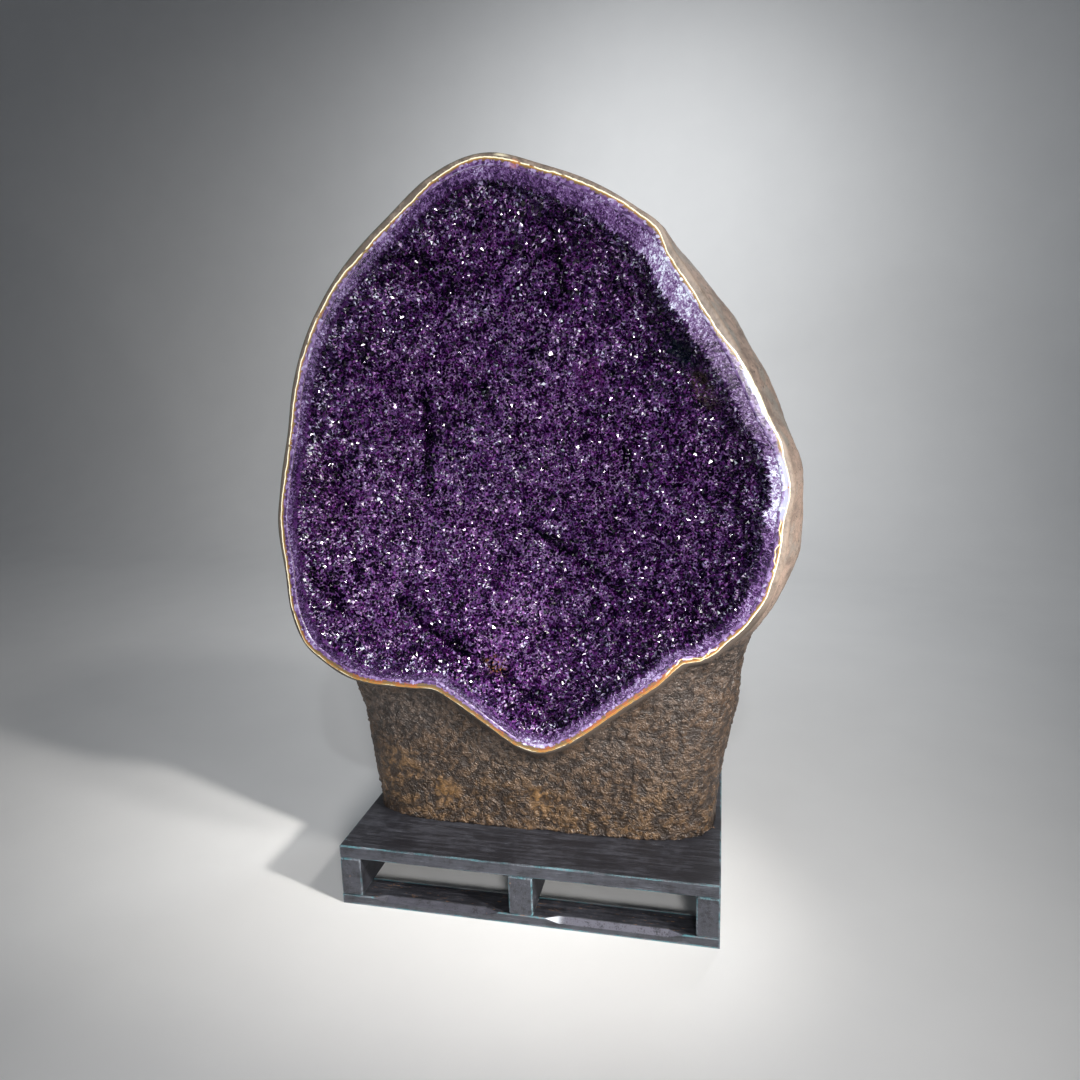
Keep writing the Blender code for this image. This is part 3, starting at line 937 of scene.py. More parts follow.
class Tree:
    """One Geometry Nodes tree with named inputs, whose result is turned into a plain mesh."""

    def __init__(self, name: str) -> None:
        """Start a tree that takes a mesh and gives a mesh.

        Args:
            name: the tree's name.
        """
        self.group = bpy.data.node_groups.new(name, "GeometryNodeTree")
        self.graph = Graph(self.group)
        self.settings: dict[str, Any] = {}
        self.group.interface.new_socket("Mesh", in_out="INPUT", socket_type="NodeSocketGeometry")
        self.group.interface.new_socket("Mesh", in_out="OUTPUT", socket_type="NodeSocketGeometry")
        self.start = self.group.nodes.new("NodeGroupInput")
        self.end = self.group.nodes.new("NodeGroupOutput")

    def input(self, name: str, kind: str, value: Any) -> Value:
        """Add a named input.

        Args:
            name: the input's name.
            kind: the type of its socket.
            value: what the modifier sets it to.

        Returns:
            The input, for use in the tree.
        """
        made = self.group.interface.new_socket(name, in_out="INPUT", socket_type=kind)
        self.settings[made.identifier] = value
        return Value(self.graph, self.start.outputs[name])

    def mesh_in(self) -> Value:
        """The mesh that the tree starts from."""
        return Value(self.graph, self.start.outputs["Mesh"])

    def random(self, kind: str, sockets: dict[Any, Any]) -> Value:
        """A random value for each point or face.

        Args:
            kind: type of the value.
            sockets: its limits and seed.

        Returns:
            The value.
        """
        output = {"FLOAT_VECTOR": 0, "FLOAT": 1, "INT": 2}[kind]
        return self.graph.value("FunctionNodeRandomValue", {"data_type": kind}, sockets, output)

    def chance(self, seed: Value | int) -> Value:
        """A random number between 0 and 1 for each point or face."""
        return self.random("FLOAT", {2: 0.0, 3: 1.0, "Seed": seed})

    def store(self, geometry: Value, name: str, domain: str, value: Value) -> Value:
        """Keep a number on a geometry under a name.

        Args:
            geometry: the geometry.
            name: the number's name.
            domain: what it is kept on.
            value: the number.

        Returns:
            The geometry with the number.
        """
        settings = {"data_type": "FLOAT", "domain": domain}
        sockets = {"Geometry": geometry, "Name": name, "Value": value}
        return self.graph.value("GeometryNodeStoreNamedAttribute", settings, sockets)

    def stored(self, name: str) -> Value:
        """A number that the mesh already has under a name."""
        return self.graph.value("GeometryNodeInputNamedAttribute", {"data_type": "FLOAT"},
                                {"Name": name})

    def finish(self, geometry: Value, material: bpy.types.Material, face: str = "") -> None:
        """End the tree in realized instances with one material.

        Args:
            geometry: the last geometry.
            material: the material that it gets.
            face: name of a random number kept on each face, if there is one.
        """
        real = self.graph.value("GeometryNodeRealizeInstances", {}, {"Geometry": geometry})
        if face:
            real = self.store(real, face, "FACE", self.chance(3))
        sockets = {"Geometry": real, "Material": material}
        dressed = self.graph.value("GeometryNodeSetMaterial", {}, sockets)
        self.group.links.new(dressed.socket, self.end.inputs[0])

    def run(self, piece: bpy.types.Object) -> bpy.types.Mesh:
        """Run the tree on a piece.

        Args:
            piece: the object that the tree starts from; its own mesh is left alone.

        Returns:
            The result as a new plain mesh.
        """
        modifier = piece.modifiers.new(self.group.name, "NODES")
        modifier.node_group = self.group
        for identifier, value in self.settings.items():
            modifier[identifier] = value
        shown = piece.evaluated_get(bpy.context.evaluated_depsgraph_get())
        mesh = bpy.data.meshes.new_from_object(shown)
        piece.modifiers.remove(modifier)
        return mesh


def new_mesh(name: str, places: np.ndarray, faces: list[tuple[int, ...]],
             numbers: dict[str, np.ndarray]) -> bpy.types.Mesh:
    """Make a mesh with numbers stored on its points.

    Args:
        name: the mesh's name.
        places: rows of x, y, z.
        faces: vertex numbers of each face.
        numbers: attribute name and one number for each point.

    Returns:
        The mesh.
    """
    mesh = bpy.data.meshes.new(name)
    mesh.from_pydata(places.tolist(), [], faces)
    for label, values in numbers.items():
        stored = mesh.attributes.new(label, "FLOAT", "POINT")
        stored.data.foreach_set("value", np.asarray(values, dtype=np.float32))
    mesh.update()
    return mesh


def new_object(name: str, mesh: bpy.types.Mesh) -> bpy.types.Object:
    """Put a mesh in the scene as an object at the origin.

    Args:
        name: the object's name.
        mesh: its mesh.

    Returns:
        The object.
    """
    made = bpy.data.objects.new(name, mesh)
    bpy.context.scene.collection.objects.link(made)
    return made


def hand_over(piece: bpy.types.Object, slot: str, *nodes: str) -> None:
    """Let a finished piece ride on the body and stand for CAD nodes.

    Args:
        piece: the piece.
        slot: not used.
        nodes: CAD nodes that it replaces.
    """
    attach(piece, "root")
    if nodes:
        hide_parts(*nodes)
    piece.data.calc_loop_triangles()
    LOG.info("%s: %d triangles", piece.name, len(piece.data.loop_triangles))


@dataclass(frozen=True)
class RindFinish:
    """Dark brown knobbly rind on the foot, golden low down, with painted shade in its grooves and
    pits and painted highlights on its knob tops; smoother and greyer on the shell.
    """

    groove_shade: Colour = (0.015, 0.010, 0.008)
    brown: Colour = (0.062, 0.037, 0.022)
    grey: Colour = (0.068, 0.048, 0.037)
    golden: Colour = (0.155, 0.082, 0.028)
    crest_highlight_tan: Colour = (0.245, 0.168, 0.115)
    shell: Colour = (0.115, 0.088, 0.074)
    shell_tan: Colour = (0.310, 0.228, 0.183)
    shell_grey: Colour = (0.190, 0.185, 0.168)
    golden_at: tuple[Spot, ...] = (
        ((-0.235, -0.250, 0.271), 0.060), ((0.030, -0.250, 0.266), 0.050),
        ((-0.380, -0.250, 0.330), 0.090),
    )
    lean: float = 0.60

    def build(self) -> bpy.types.Material:
        """Make the material.

        Returns:
            The material.
        """
        finish = Finish("geode rind")
        graph = finish.graph
        place = finish.place()
        up = graph.axis(place, "Z")
        relief = finish.attribute("relief")
        foot = graph.step(up + graph.noise(place, 6.0, 2.0) * 0.16, 0.94, 0.78)
        push = graph.vector("MULTIPLY", graph.drift(place, 26.0, 3.0), (0.036, 0.036, 0.036))
        warped = graph.vector("ADD", place, push)
        leaning = graph.value("ShaderNodeMapping", {}, {
            "Vector": warped, "Rotation": (0.0, self.lean, 0.0), "Scale": (1.0, 1.0, 1.5)})
        broad = graph.noise(place, 5.0, 4.0)
        middle = graph.noise(leaning, 24.0, 4.0, 0.65, 0.6)
        fine = graph.noise(leaning, 170.0, 4.0, 0.7)
        knobs = graph.step(graph.cells(leaning, 56.0, "F1"), 0.72, 0.10)
        folds = graph.ridges(graph.noise(leaning, 22.0, 2.0, 0.5))
        creases = graph.ridges(graph.noise(warped, 58.0, 2.0, 0.6))
        small = graph.step(graph.cells(leaning, 150.0, "F1"), 0.75, 0.10)
        bumps = folds * 0.25 + creases * 0.35 + knobs * (0.05 + middle * 0.30)
        base = graph.mix(graph.step(broad, 0.40, 0.62), self.brown, self.grey)
        low = graph.step(up, 0.50, 0.20) * graph.step(middle + broad, 0.82, 1.20)
        left, centre, far_left = finish.spots(place, self.golden_at)
        patch = graph.together([left, centre, far_left * 0.6])
        base = graph.mix(graph.together([low * 0.60, patch * 0.55]), base, self.golden)
        # Painted highlight: the tops of the knobs and folds are lightened towards tan.
        crest_highlight = graph.step(bumps * 0.45 + relief * 0.60 + small * 0.15, 0.62, 1.02)
        base = graph.mix(crest_highlight * graph.step(fine, 0.30, 0.60) * 0.32, base, self.crest_highlight_tan)
        # Painted shade: the low parts of the relief are darkened towards a near-black brown.
        groove_shade_share = graph.step(relief * 0.65 + bumps * 0.55 + small * 0.15, 0.66, 0.26)
        base = graph.mix(groove_shade_share * 0.85, base, self.groove_shade)
        pits = graph.step(graph.cells(place, 62.0, "F1"), 0.24, 0.14)
        pits = pits * graph.step(fine, 0.42, 0.52)
        pale = graph.step(middle * 0.5 + broad * 0.5, 0.36, 0.62)
        shell = graph.mix(pale, self.shell, self.shell_tan)
        grey = graph.step(graph.noise(place, 13.0, 3.0), 0.50, 0.64)
        shell = graph.mix(grey * 0.7, shell, self.shell_grey)
        shell = graph.mix(graph.step(fine, 0.40, 0.66) * 0.45, shell, self.brown)
        # Painted shade: the pits on the shell take the same near-black brown.
        shell = graph.mix(pits * 0.8, shell, self.groove_shade)
        base = graph.mix(foot, shell, base)
        smoother = (1.0 - patch * 0.7) * foot
        height = (bumps * 0.70 + small * 0.12) * smoother + fine * 0.10 - pits * 0.15
        finish.set(Base_Color=base, Roughness=0.50 - bumps * foot * 0.20 + fine * 0.14,
                   Normal=graph.bump(height * (0.6 + broad * 0.8), 0.0120))
        return finish.material


@dataclass(frozen=True)
class Crust:
    """Tones of the crust where it was sawn: grains from dusty purple to bluish white."""

    tones: tuple[tuple[float, Colour], ...] = (
        (0.10, (0.010, 0.002, 0.022)), (0.30, (0.045, 0.015, 0.076)),
        (0.48, (0.105, 0.050, 0.155)), (0.66, (0.205, 0.140, 0.290)),
        (0.82, (0.340, 0.320, 0.450)), (0.96, (0.560, 0.600, 0.720)),
    )
    white_and_reflection_at: tuple[Spot, ...] = (
        ((0.360, -0.285, 1.555), 0.18), ((0.625, -0.285, 1.120), 0.11),
        ((0.020, -0.285, 0.442), 0.05),
    )

    def whiteness_and_reflection(self, finish: Finish, place: Value) -> Value:
        """Where the crust is nearly white: partly its own pale crystal, partly painted reflection
        and light at a few spots.

        Args:
            finish: the finish that it is built in.
            place: the place that is read.

        Returns:
            The share.
        """
        return finish.graph.together(finish.spots(place, self.white_and_reflection_at))

    def colour(self, finish: Finish, tone: Value) -> Value:
        """The colour of a tone."""
        return finish.graph.ramp(tone, list(self.tones))


@dataclass(frozen=True)
class AgateFinish:
    """The polished edge: grey-brown rind, a thin broken cream line, gold, rust, then crust."""

    outline: Colour = (0.105, 0.130, 0.100)
    rind: Colour = (0.080, 0.060, 0.046)
    rind_lit_right: Colour = (0.215, 0.165, 0.130)
    cream: Colour = (0.880, 0.800, 0.560)
    gold: Colour = (0.430, 0.235, 0.050)
    olive: Colour = (0.120, 0.078, 0.034)
    rust: Colour = (0.260, 0.075, 0.022)
    quartz: Colour = (0.270, 0.280, 0.420)
    quartz_reflection_white: Colour = (0.640, 0.690, 0.780)
    dark_rind: Colour = (0.038, 0.027, 0.020)
    orange: Colour = (0.600, 0.170, 0.020)
    quartz_at: tuple[Spot, ...] = (
        ((0.552, -0.285, 1.330), 0.085), ((0.628, -0.285, 1.160), 0.055),
        ((0.634, -0.285, 1.080), 0.055), ((0.378, -0.285, 1.545), 0.055),
    )
    shifts: tuple[tuple[Place, float, float], ...] = (
        ((-0.240, -0.285, 1.720), 0.26, -6.5), ((0.430, -0.285, 1.530), 0.30, -5.5),
        ((0.552, -0.285, 1.330), 0.17, 9.0),
    )
    loops_at: tuple[Spot, ...] = (
        ((0.641, -0.285, 0.990), 0.085), ((0.440, -0.285, 0.680), 0.090),
    )
    orange_at: Spot = ((0.020, -0.285, 1.870), 0.026)
    pale_at: Spot = ((-0.012, -0.285, 1.888), 0.030)
    crack_height: float = 1.1245

    def build(self) -> bpy.types.Material:
        """Make the material; the bands lie at millimetres in from the sawn edge.

        Returns:
            The material.
        """
        finish = Finish("polished agate edge")
        graph = finish.graph
        step = graph.step
        place = finish.place()
        across = graph.axis(place, "X")
        up = graph.axis(place, "Z")
        inward = finish.attribute("edge_depth") * 1000.0
        slow = graph.noise(place, 3.2, 2.0)
        quick = graph.noise(place, 19.0, 3.0, 0.6)
        fine = graph.noise(place, 110.0, 4.0, 0.7)
        bent = inward + (slow - 0.5) * 20.0 + (quick - 0.5) * 9.0 + (fine - 0.5) * 2.2
        for middle, reach, shift in self.shifts:
            bent = bent + finish.near(place, middle, reach) * shift
        low = step(up, 0.80, 0.60)
        bent = bent + low * 3.0
        # Partly tone noise, partly painted light: the rind turns lighter towards the right, where
        # the light falls.
        light = step(quick + fine + across * 0.35, 0.80, 1.30)
        rind = graph.mix(light, self.rind, self.rind_lit_right)
        rind = graph.mix(step(inward, 3.0, 1.2) * step(across, 0.10, -0.20), rind, self.outline)
        rind = graph.mix(step(up, 0.94, 0.78) * 0.9, rind, self.dark_rind)
        rusty = step(quick + (fine - 0.5) * 0.8, 0.50, 0.62)
        inner = graph.mix(rusty * (0.45 + low * 0.5), self.olive, self.rust)
        colour = graph.mix(step(bent, 10.0, 12.0), rind, inner)
        gold = step(bent, 12.5, 13.5) * step(bent, 16.0, 14.0)
        colour = graph.mix(gold * 0.6, colour, self.gold)
        broken = step(graph.noise(place, 42.0, 3.0), 0.28, 0.42)
        line = step(bent, 9.6, 10.6) * step(bent + low * 1.1, 13.1, 12.2) * broken
        tinted = graph.mix(low * step(quick, 0.38, 0.56), self.cream, self.gold)
        colour = graph.mix(line * (1.0 - low * step(fine, 0.52, 0.62) * 0.7), colour, tinted)
        crust = Crust()
        white_and_reflection = crust.whiteness_and_reflection(finish, place)
        grains = graph.grains(place, 150.0)
        tone = grains * 0.55 + fine * 0.35 + (quick - 0.5) * 0.5 + white_and_reflection * 0.30
        ragged = step(bent + (grains - 0.5) * 5.0 - low * 5.0, 16.5, 19.5)
        colour = graph.mix(ragged, colour, crust.colour(finish, tone))
        loops = graph.together(finish.spots(place, self.loops_at))
        second = bent + (graph.noise(place, 26.0, 1.0) - 0.5) * 26.0
        loop = step(second, 15.5, 16.7) * step(second, 19.8, 18.4) * step(loops, 0.05, 0.3)
        colour = graph.mix(loop, colour, graph.mix(grains, self.gold, self.cream))
        spots = finish.spots(place, self.quartz_at)
        spread = graph.together(spots)
        patchy = spread * step(slow * 0.4 + quick * 0.8 + spread * 0.35, 0.62, 0.80)
        band = step(bent, 12.6, 13.8) * step(bent + quick * 6.0, 27.0, 23.0)
        apart = graph.maths("ABSOLUTE", up - self.crack_height + (fine - 0.5) * 0.006)
        crack = step(apart, 0.0008, 0.0022)
        # The quartz patches are partly the edge's own grey-blue quartz and partly painted
        # reflection, whitened near the first spot and in fine flecks.
        glassy_reflection = step(bent + (quick - 0.5) * 10.0, 21.0, 16.0) * spots[0]
        quartz = graph.mix(glassy_reflection + step(fine, 0.60, 0.72) * 0.5, self.quartz, self.quartz_reflection_white)
        colour = graph.mix(patchy * band * crack, colour, quartz)
        top = finish.near(place, *self.orange_at) * step(inward, 4.0, 9.0)
        colour = graph.mix(top * step(fine + quick, 0.80, 1.05), colour, self.orange)
        pale = finish.near(place, *self.pale_at) * step(inward, 9.0, 5.0)
        colour = graph.mix(pale, colour, self.cream)
        polished = step(bent, 7.0, 12.0)
        finish.set(Base_Color=colour, Roughness=0.50 - polished * 0.34 + fine * 0.16,
                   Coat_Weight=polished * 0.35, Normal=graph.bump(fine + grains * ragged, 0.0006),
                   Coat_Roughness=0.06)
        return finish.material


@dataclass(frozen=True)
class Tint:
    """A spot of another colour among the crystals, on those whose hue is at least so much."""

    colour: Colour
    middle: Place
    reach: float
    least: float
    strength: float


@dataclass(frozen=True)
class CrystalFinish:
    """Clear purple crystal, from near-black through magenta-purple to pale lavender, with
    near-white painted glints.
    """

    # The near-white top stops of both ramps are painted glints on a few random facets.
    warm: tuple[tuple[float, Colour], ...] = (
        (0.10, (0.0005, 0.0001, 0.002)), (0.22, (0.003, 0.0003, 0.008)),
        (0.32, (0.016, 0.0010, 0.028)), (0.40, (0.044, 0.0036, 0.066)),
        (0.47, (0.094, 0.013, 0.132)), (0.54, (0.180, 0.048, 0.240)),
        (0.61, (0.370, 0.170, 0.450)), (0.68, (0.780, 0.570, 0.870)),
        (0.75, (1.000, 0.950, 1.000)),
    )
    cool: tuple[tuple[float, Colour], ...] = (
        (0.10, (0.0003, 0.0003, 0.002)), (0.22, (0.0015, 0.0008, 0.008)),
        (0.32, (0.009, 0.003, 0.026)), (0.40, (0.027, 0.009, 0.058)),
        (0.47, (0.060, 0.027, 0.114)), (0.54, (0.125, 0.074, 0.210)),
        (0.61, (0.290, 0.230, 0.420)), (0.68, (0.680, 0.680, 0.880)),
        (0.75, (0.920, 1.000, 1.000)),
    )
    tints: tuple[Tint, ...] = (
        Tint((0.420, 0.090, 0.480), (0.132, 0.083, 1.388), 0.070, 0.55, 0.30),
        Tint((0.120, 0.080, 0.062), (0.451, -0.108, 1.343), 0.075, 0.30, 0.7),
        Tint((0.360, 0.150, 0.045), (-0.117, -0.130, 0.590), 0.050, 0.75, 0.8),
        # Painted shadow: the last tint turns the crystals near-black teal where shade falls on the
        # right wall.
        Tint((0.002, 0.006, 0.014), (0.400, -0.110, 1.450), 0.085, -0.3, 0.92),
    )
    see_through: float = 0.40
    gloss: float = 0.05
    passing: Colour = (0.42, 0.16, 0.60)
    density: float = 45.0

    def build(self) -> bpy.types.Material:
        """Make the material.

        Returns:
            The material.
        """
        finish = Finish("amethyst crystal")
        graph = finish.graph
        place = finish.place()
        facet = finish.attribute("facet")
        rim = finish.attribute("rim")
        patches = graph.noise(place, 10.0, 3.0, 0.6)
        small = graph.noise(place, 50.0, 2.0)
        mixed = facet * 0.63 + finish.attribute("tone") * 0.14 + rim * 0.07 - 0.045
        # Painted light and shade: crystals on knots are lighter, those between knots and in creases
        # darker.
        mixed = mixed + finish.attribute("cluster") * 0.13
        mixed = mixed + (small - 0.5) * 0.40 - graph.step(patches, 0.56, 0.34) * 0.13
        hue = graph.maths("FRACT", facet * 37.0)
        drift = (graph.noise(place, 4.0, 2.0) - 0.5) * 0.9
        cooler = graph.step(hue + rim * 0.35 + drift, 0.50, 0.85)
        warm, cool = (graph.ramp(mixed, list(stops)) for stops in (self.warm, self.cool))
        colour = graph.mix(cooler, warm, cool)
        for tint in self.tints:
            share = finish.near(place, tint.middle, tint.reach)
            share = share * graph.step(hue, tint.least, tint.least + 0.2)
            colour = graph.mix(share * tint.strength, colour, tint.colour)
        finish.set(Base_Color=colour, Roughness=self.gloss + hue * 0.10, IOR=1.544,
                   Transmission_Weight=self.see_through, Specular_IOR_Level=0.3)
        finish.absorb(self.passing, self.density)
        return finish.material


@dataclass(frozen=True)
class SkinFinish:
    """Dark purple quartz between the crystals, made near-black as painted shade in the gaps."""

    deep: Colour = (0.020, 0.004, 0.040)
    purple: Colour = (0.090, 0.020, 0.140)

    def build(self) -> bpy.types.Material:
        """Make the material.

        Returns:
            The material.
        """
        finish = Finish("amethyst skin")
        graph = finish.graph
        place = finish.place()
        grain = graph.noise(place, 120.0, 4.0, 0.7)
        colour = graph.mix(graph.step(grain, 0.35, 0.65), self.deep, self.purple)
        finish.set(Base_Color=colour, Roughness=0.22 + grain * 0.2,
                   Normal=graph.bump(grain, 0.003))
        return finish.material


@dataclass(frozen=True)
class SawnFinish:
    """The crust where it was sawn and polished: upright grains, purple inwards."""

    def build(self) -> bpy.types.Material:
        """Make the material.

        Returns:
            The material.
        """
        finish = Finish("sawn amethyst")
        graph = finish.graph
        place = finish.place()
        sawn = graph.value("ShaderNodeUVMap", {"uv_map": "sawn"}, {}, "UV")
        inward = graph.axis(sawn, "Y")
        push = graph.vector("MULTIPLY", graph.drift(place, 60.0), (0.003, 0.004, 0.0))
        bent = graph.vector("ADD", sawn, push)
        grains = graph.grains(graph.shifted(bent, (165.0, 140.0, 1.0)), 1.0)
        narrow = graph.grains(graph.shifted(bent, (380.0, 330.0, 1.0)), 1.0)
        patches = graph.noise(place, 11.0, 3.0)
        crust = Crust()
        white_and_reflection = crust.whiteness_and_reflection(finish, place)
        depth = graph.step(inward, 0.0, 0.045, Edge.STRAIGHT)
        tone = grains * 0.42 + narrow * 0.42 + (patches - 0.5) * 0.85
        tone = tone + white_and_reflection * 0.42 - depth * 0.16 - 0.05
        finish.set(Base_Color=crust.colour(finish, tone), Roughness=0.12 + narrow * 0.18,
                   Coat_Weight=0.3, Normal=graph.bump(grains + narrow * 0.7, 0.0012), IOR=1.544,
                   Coat_Roughness=0.08, Transmission_Weight=0.15)
        return finish.material


@dataclass(frozen=True)
class TimberFinish:
    """Worn black paint over timber whose grain runs across or along the stand."""

    low: Place
    high: Place
    grain: Place
    chamfered: bool
    black: Colour = (0.011, 0.011, 0.015)
    faded: Colour = (0.046, 0.048, 0.060)
    worn: Colour = (0.180, 0.205, 0.235)
    teal_edge_highlight: Colour = (0.095, 0.255, 0.290)
    strip: Colour = (0.120, 0.118, 0.150)
    tip: Colour = (0.620, 0.660, 0.720)
    fleck: Colour = (0.375, 0.188, 0.075)
    chamfer: tuple[float, float] = (0.0182, 0.0130)
    tip_at: Spot = ((0.070, -0.400, 0.020), 0.055)

    def build(self, name: str) -> bpy.types.Material:
        """Make the material for one board.

        Args:
            name: the material's name.

        Returns:
            The material.
        """
        finish = Finish(name)
        graph = finish.graph
        place = finish.place()
        ways = []
        for axis, low, high in zip("XYZ", self.low, self.high):
            along = graph.axis(place, axis)
            ways.append(graph.maths("MINIMUM", graph.maths("SUBTRACT", along, low),
                                    graph.maths("SUBTRACT", high, along)))
        most = graph.maths("MAXIMUM", graph.maths("MAXIMUM", ways[0], ways[1]), ways[2])
        inside = (ways[0] + ways[1] + ways[2] - most) * 1000.0
        fibres = graph.noise(graph.shifted(place, self.grain), 1.0, 5.0, 0.75, 0.2)
        finer = tuple(value * 3.2 for value in self.grain)
        fine = graph.noise(graph.shifted(place, finer), 1.0, 2.0)
        broad = graph.noise(place, 7.0, 3.0)
        specks = graph.noise(place, 300.0, 3.0, 0.7)
        mottle = graph.noise(place, 38.0, 4.0, 0.65)
        front = graph.step(ways[1], 0.0022, 0.0008)
        rubbed = graph.step(fibres * 0.60 + broad * 0.30 + mottle * 0.30 + front * 0.06, 0.54, 0.74)
        colour = graph.mix(rubbed * 0.85, self.black, self.faded)
        dusty = front * graph.step(mottle + specks, 0.85, 1.15)
        colour = graph.mix(dusty * 0.55, colour, self.faded)
        colour = graph.mix(graph.step(fine, 0.58, 0.75) * rubbed * 0.30, colour, self.worn)
        # Edges are partly real worn paint and partly a painted teal highlight.
        edge = graph.step(inside - (fibres - 0.5) * 6.0 - (specks - 0.5) * 4.0, 4.4, 1.8)
        colour = graph.mix(edge * graph.step(broad, 0.30, 0.55) * 0.85, colour,
                           graph.mix(graph.step(mottle, 0.40, 0.60), self.teal_edge_highlight, self.worn))
        dents = graph.step(graph.cells(place, 17.0, "F1"), 0.055, 0.035)
        colour = graph.mix(dents * graph.step(specks, 0.50, 0.58) * 0.7, colour, self.fleck)
        if self.chamfered:
            drop = graph.maths("SUBTRACT", self.high[2], graph.axis(place, "Z"))
            slope = ways[1] / self.chamfer[0] + drop / self.chamfer[1]
            strip = graph.step(drop, 0.0008, 0.0020) * graph.step(ways[1], 0.0008, 0.0020)
            strip = strip * graph.step(slope, 1.12, 1.04)
            shown = 0.30 + graph.step(graph.axis(place, "X"), 0.00, 0.03) * 0.55
            shown = shown * graph.step(specks + mottle, 0.72, 1.02)
            colour = graph.mix(strip * shown, colour, self.strip)
            colour = graph.mix(strip * finish.near(place, *self.tip_at), colour, self.tip)
            marks = graph.noise(graph.shifted(place, (60.0, 320.0, 60.0)), 1.0, 2.0)
            marks = graph.step(marks, 0.60, 0.68) * graph.step(drop, 0.0015, 0.0005)
            colour = graph.mix(marks * graph.step(mottle, 0.50, 0.60) * 0.6, colour, self.fleck)
        finish.set(Base_Color=colour, Roughness=0.40 + fibres * 0.28 + edge * 0.10,
                   Normal=graph.bump(fibres + fine * 0.5 + specks * 0.3, 0.0018))
        return finish.material


@dataclass
class Relief:
    """Raises knobs on the rough parts of the stone, never beyond its modelled surface."""

    knob_size: float = 0.026
    knob_height: float = 0.0072
    swell: float = 0.0030
    lean: float = 0.45

    @staticmethod
    def knobs(graph: Graph, place: Value, scale: Value, softness: float, reach: float) -> Value:
        """Round knobs, from 1 on their tops to 0 between them.

        Args:
            graph: the graph that they are built in.
            place: where they are read.
            scale: knobs per metre.
            softness: how far they melt together.
            reach: the distance from a top, in knobs, at which nothing is left.

        Returns:
            The knobs' height.
        """
        sockets = {"Vector": place, "Scale": scale, "Smoothness": softness}
        cells = graph.value("ShaderNodeTexVoronoi", {"feature": "SMOOTH_F1"}, sockets, "Distance")
        return 1.0 - graph.step(cells, 0.10, reach)

    def tree(self, material: bpy.types.Material) -> Tree:
        """Build the tree.

        Args:
            material: the finish of the stone.

        Returns:
            The tree.
        """
        tree = Tree("knobs of the rind")
        graph = tree.graph
        size = tree.input("Knob size", "NodeSocketFloat", self.knob_size)
        height = tree.input("Knob height", "NodeSocketFloat", self.knob_height)
        swell = tree.input("Swell", "NodeSocketFloat", self.swell)
        place = graph.value("GeometryNodeInputPosition", {}, {})
        normal = graph.value("GeometryNodeInputNormal", {}, {})
        push = graph.vector("SUBTRACT", graph.drift(place, 30.0), (0.5, 0.5, 0.5))
        warped = graph.vector("ADD", place, graph.scaled(push, 0.055))
        rotated = graph.value("ShaderNodeVectorRotate", {"rotation_type": "Y_AXIS"},
                              {"Vector": warped, "Angle": self.lean})
        leaning = graph.shifted(rotated, (1.0, 1.0, 1.45))
        knob = self.knobs(graph, leaning, 1.0 / size, 0.35, 0.75)
        smaller = self.knobs(graph, leaning, 2.2 / size, 0.25, 0.70)
        broad = graph.noise(place, 18.0, 3.0)
        raised = knob * (0.45 + broad * 0.7) + smaller * (0.10 + broad * 0.35)
        down = (raised - 1.15) * height * tree.stored("rough") + (broad - 1.0) * swell
        offset = graph.scaled(normal, down * tree.stored("free"))
        moved = graph.value("GeometryNodeSetPosition", {},
                            {"Geometry": tree.mesh_in(), "Offset": offset})
        tree.finish(tree.store(moved, "relief", "POINT", raised), material)
        return tree


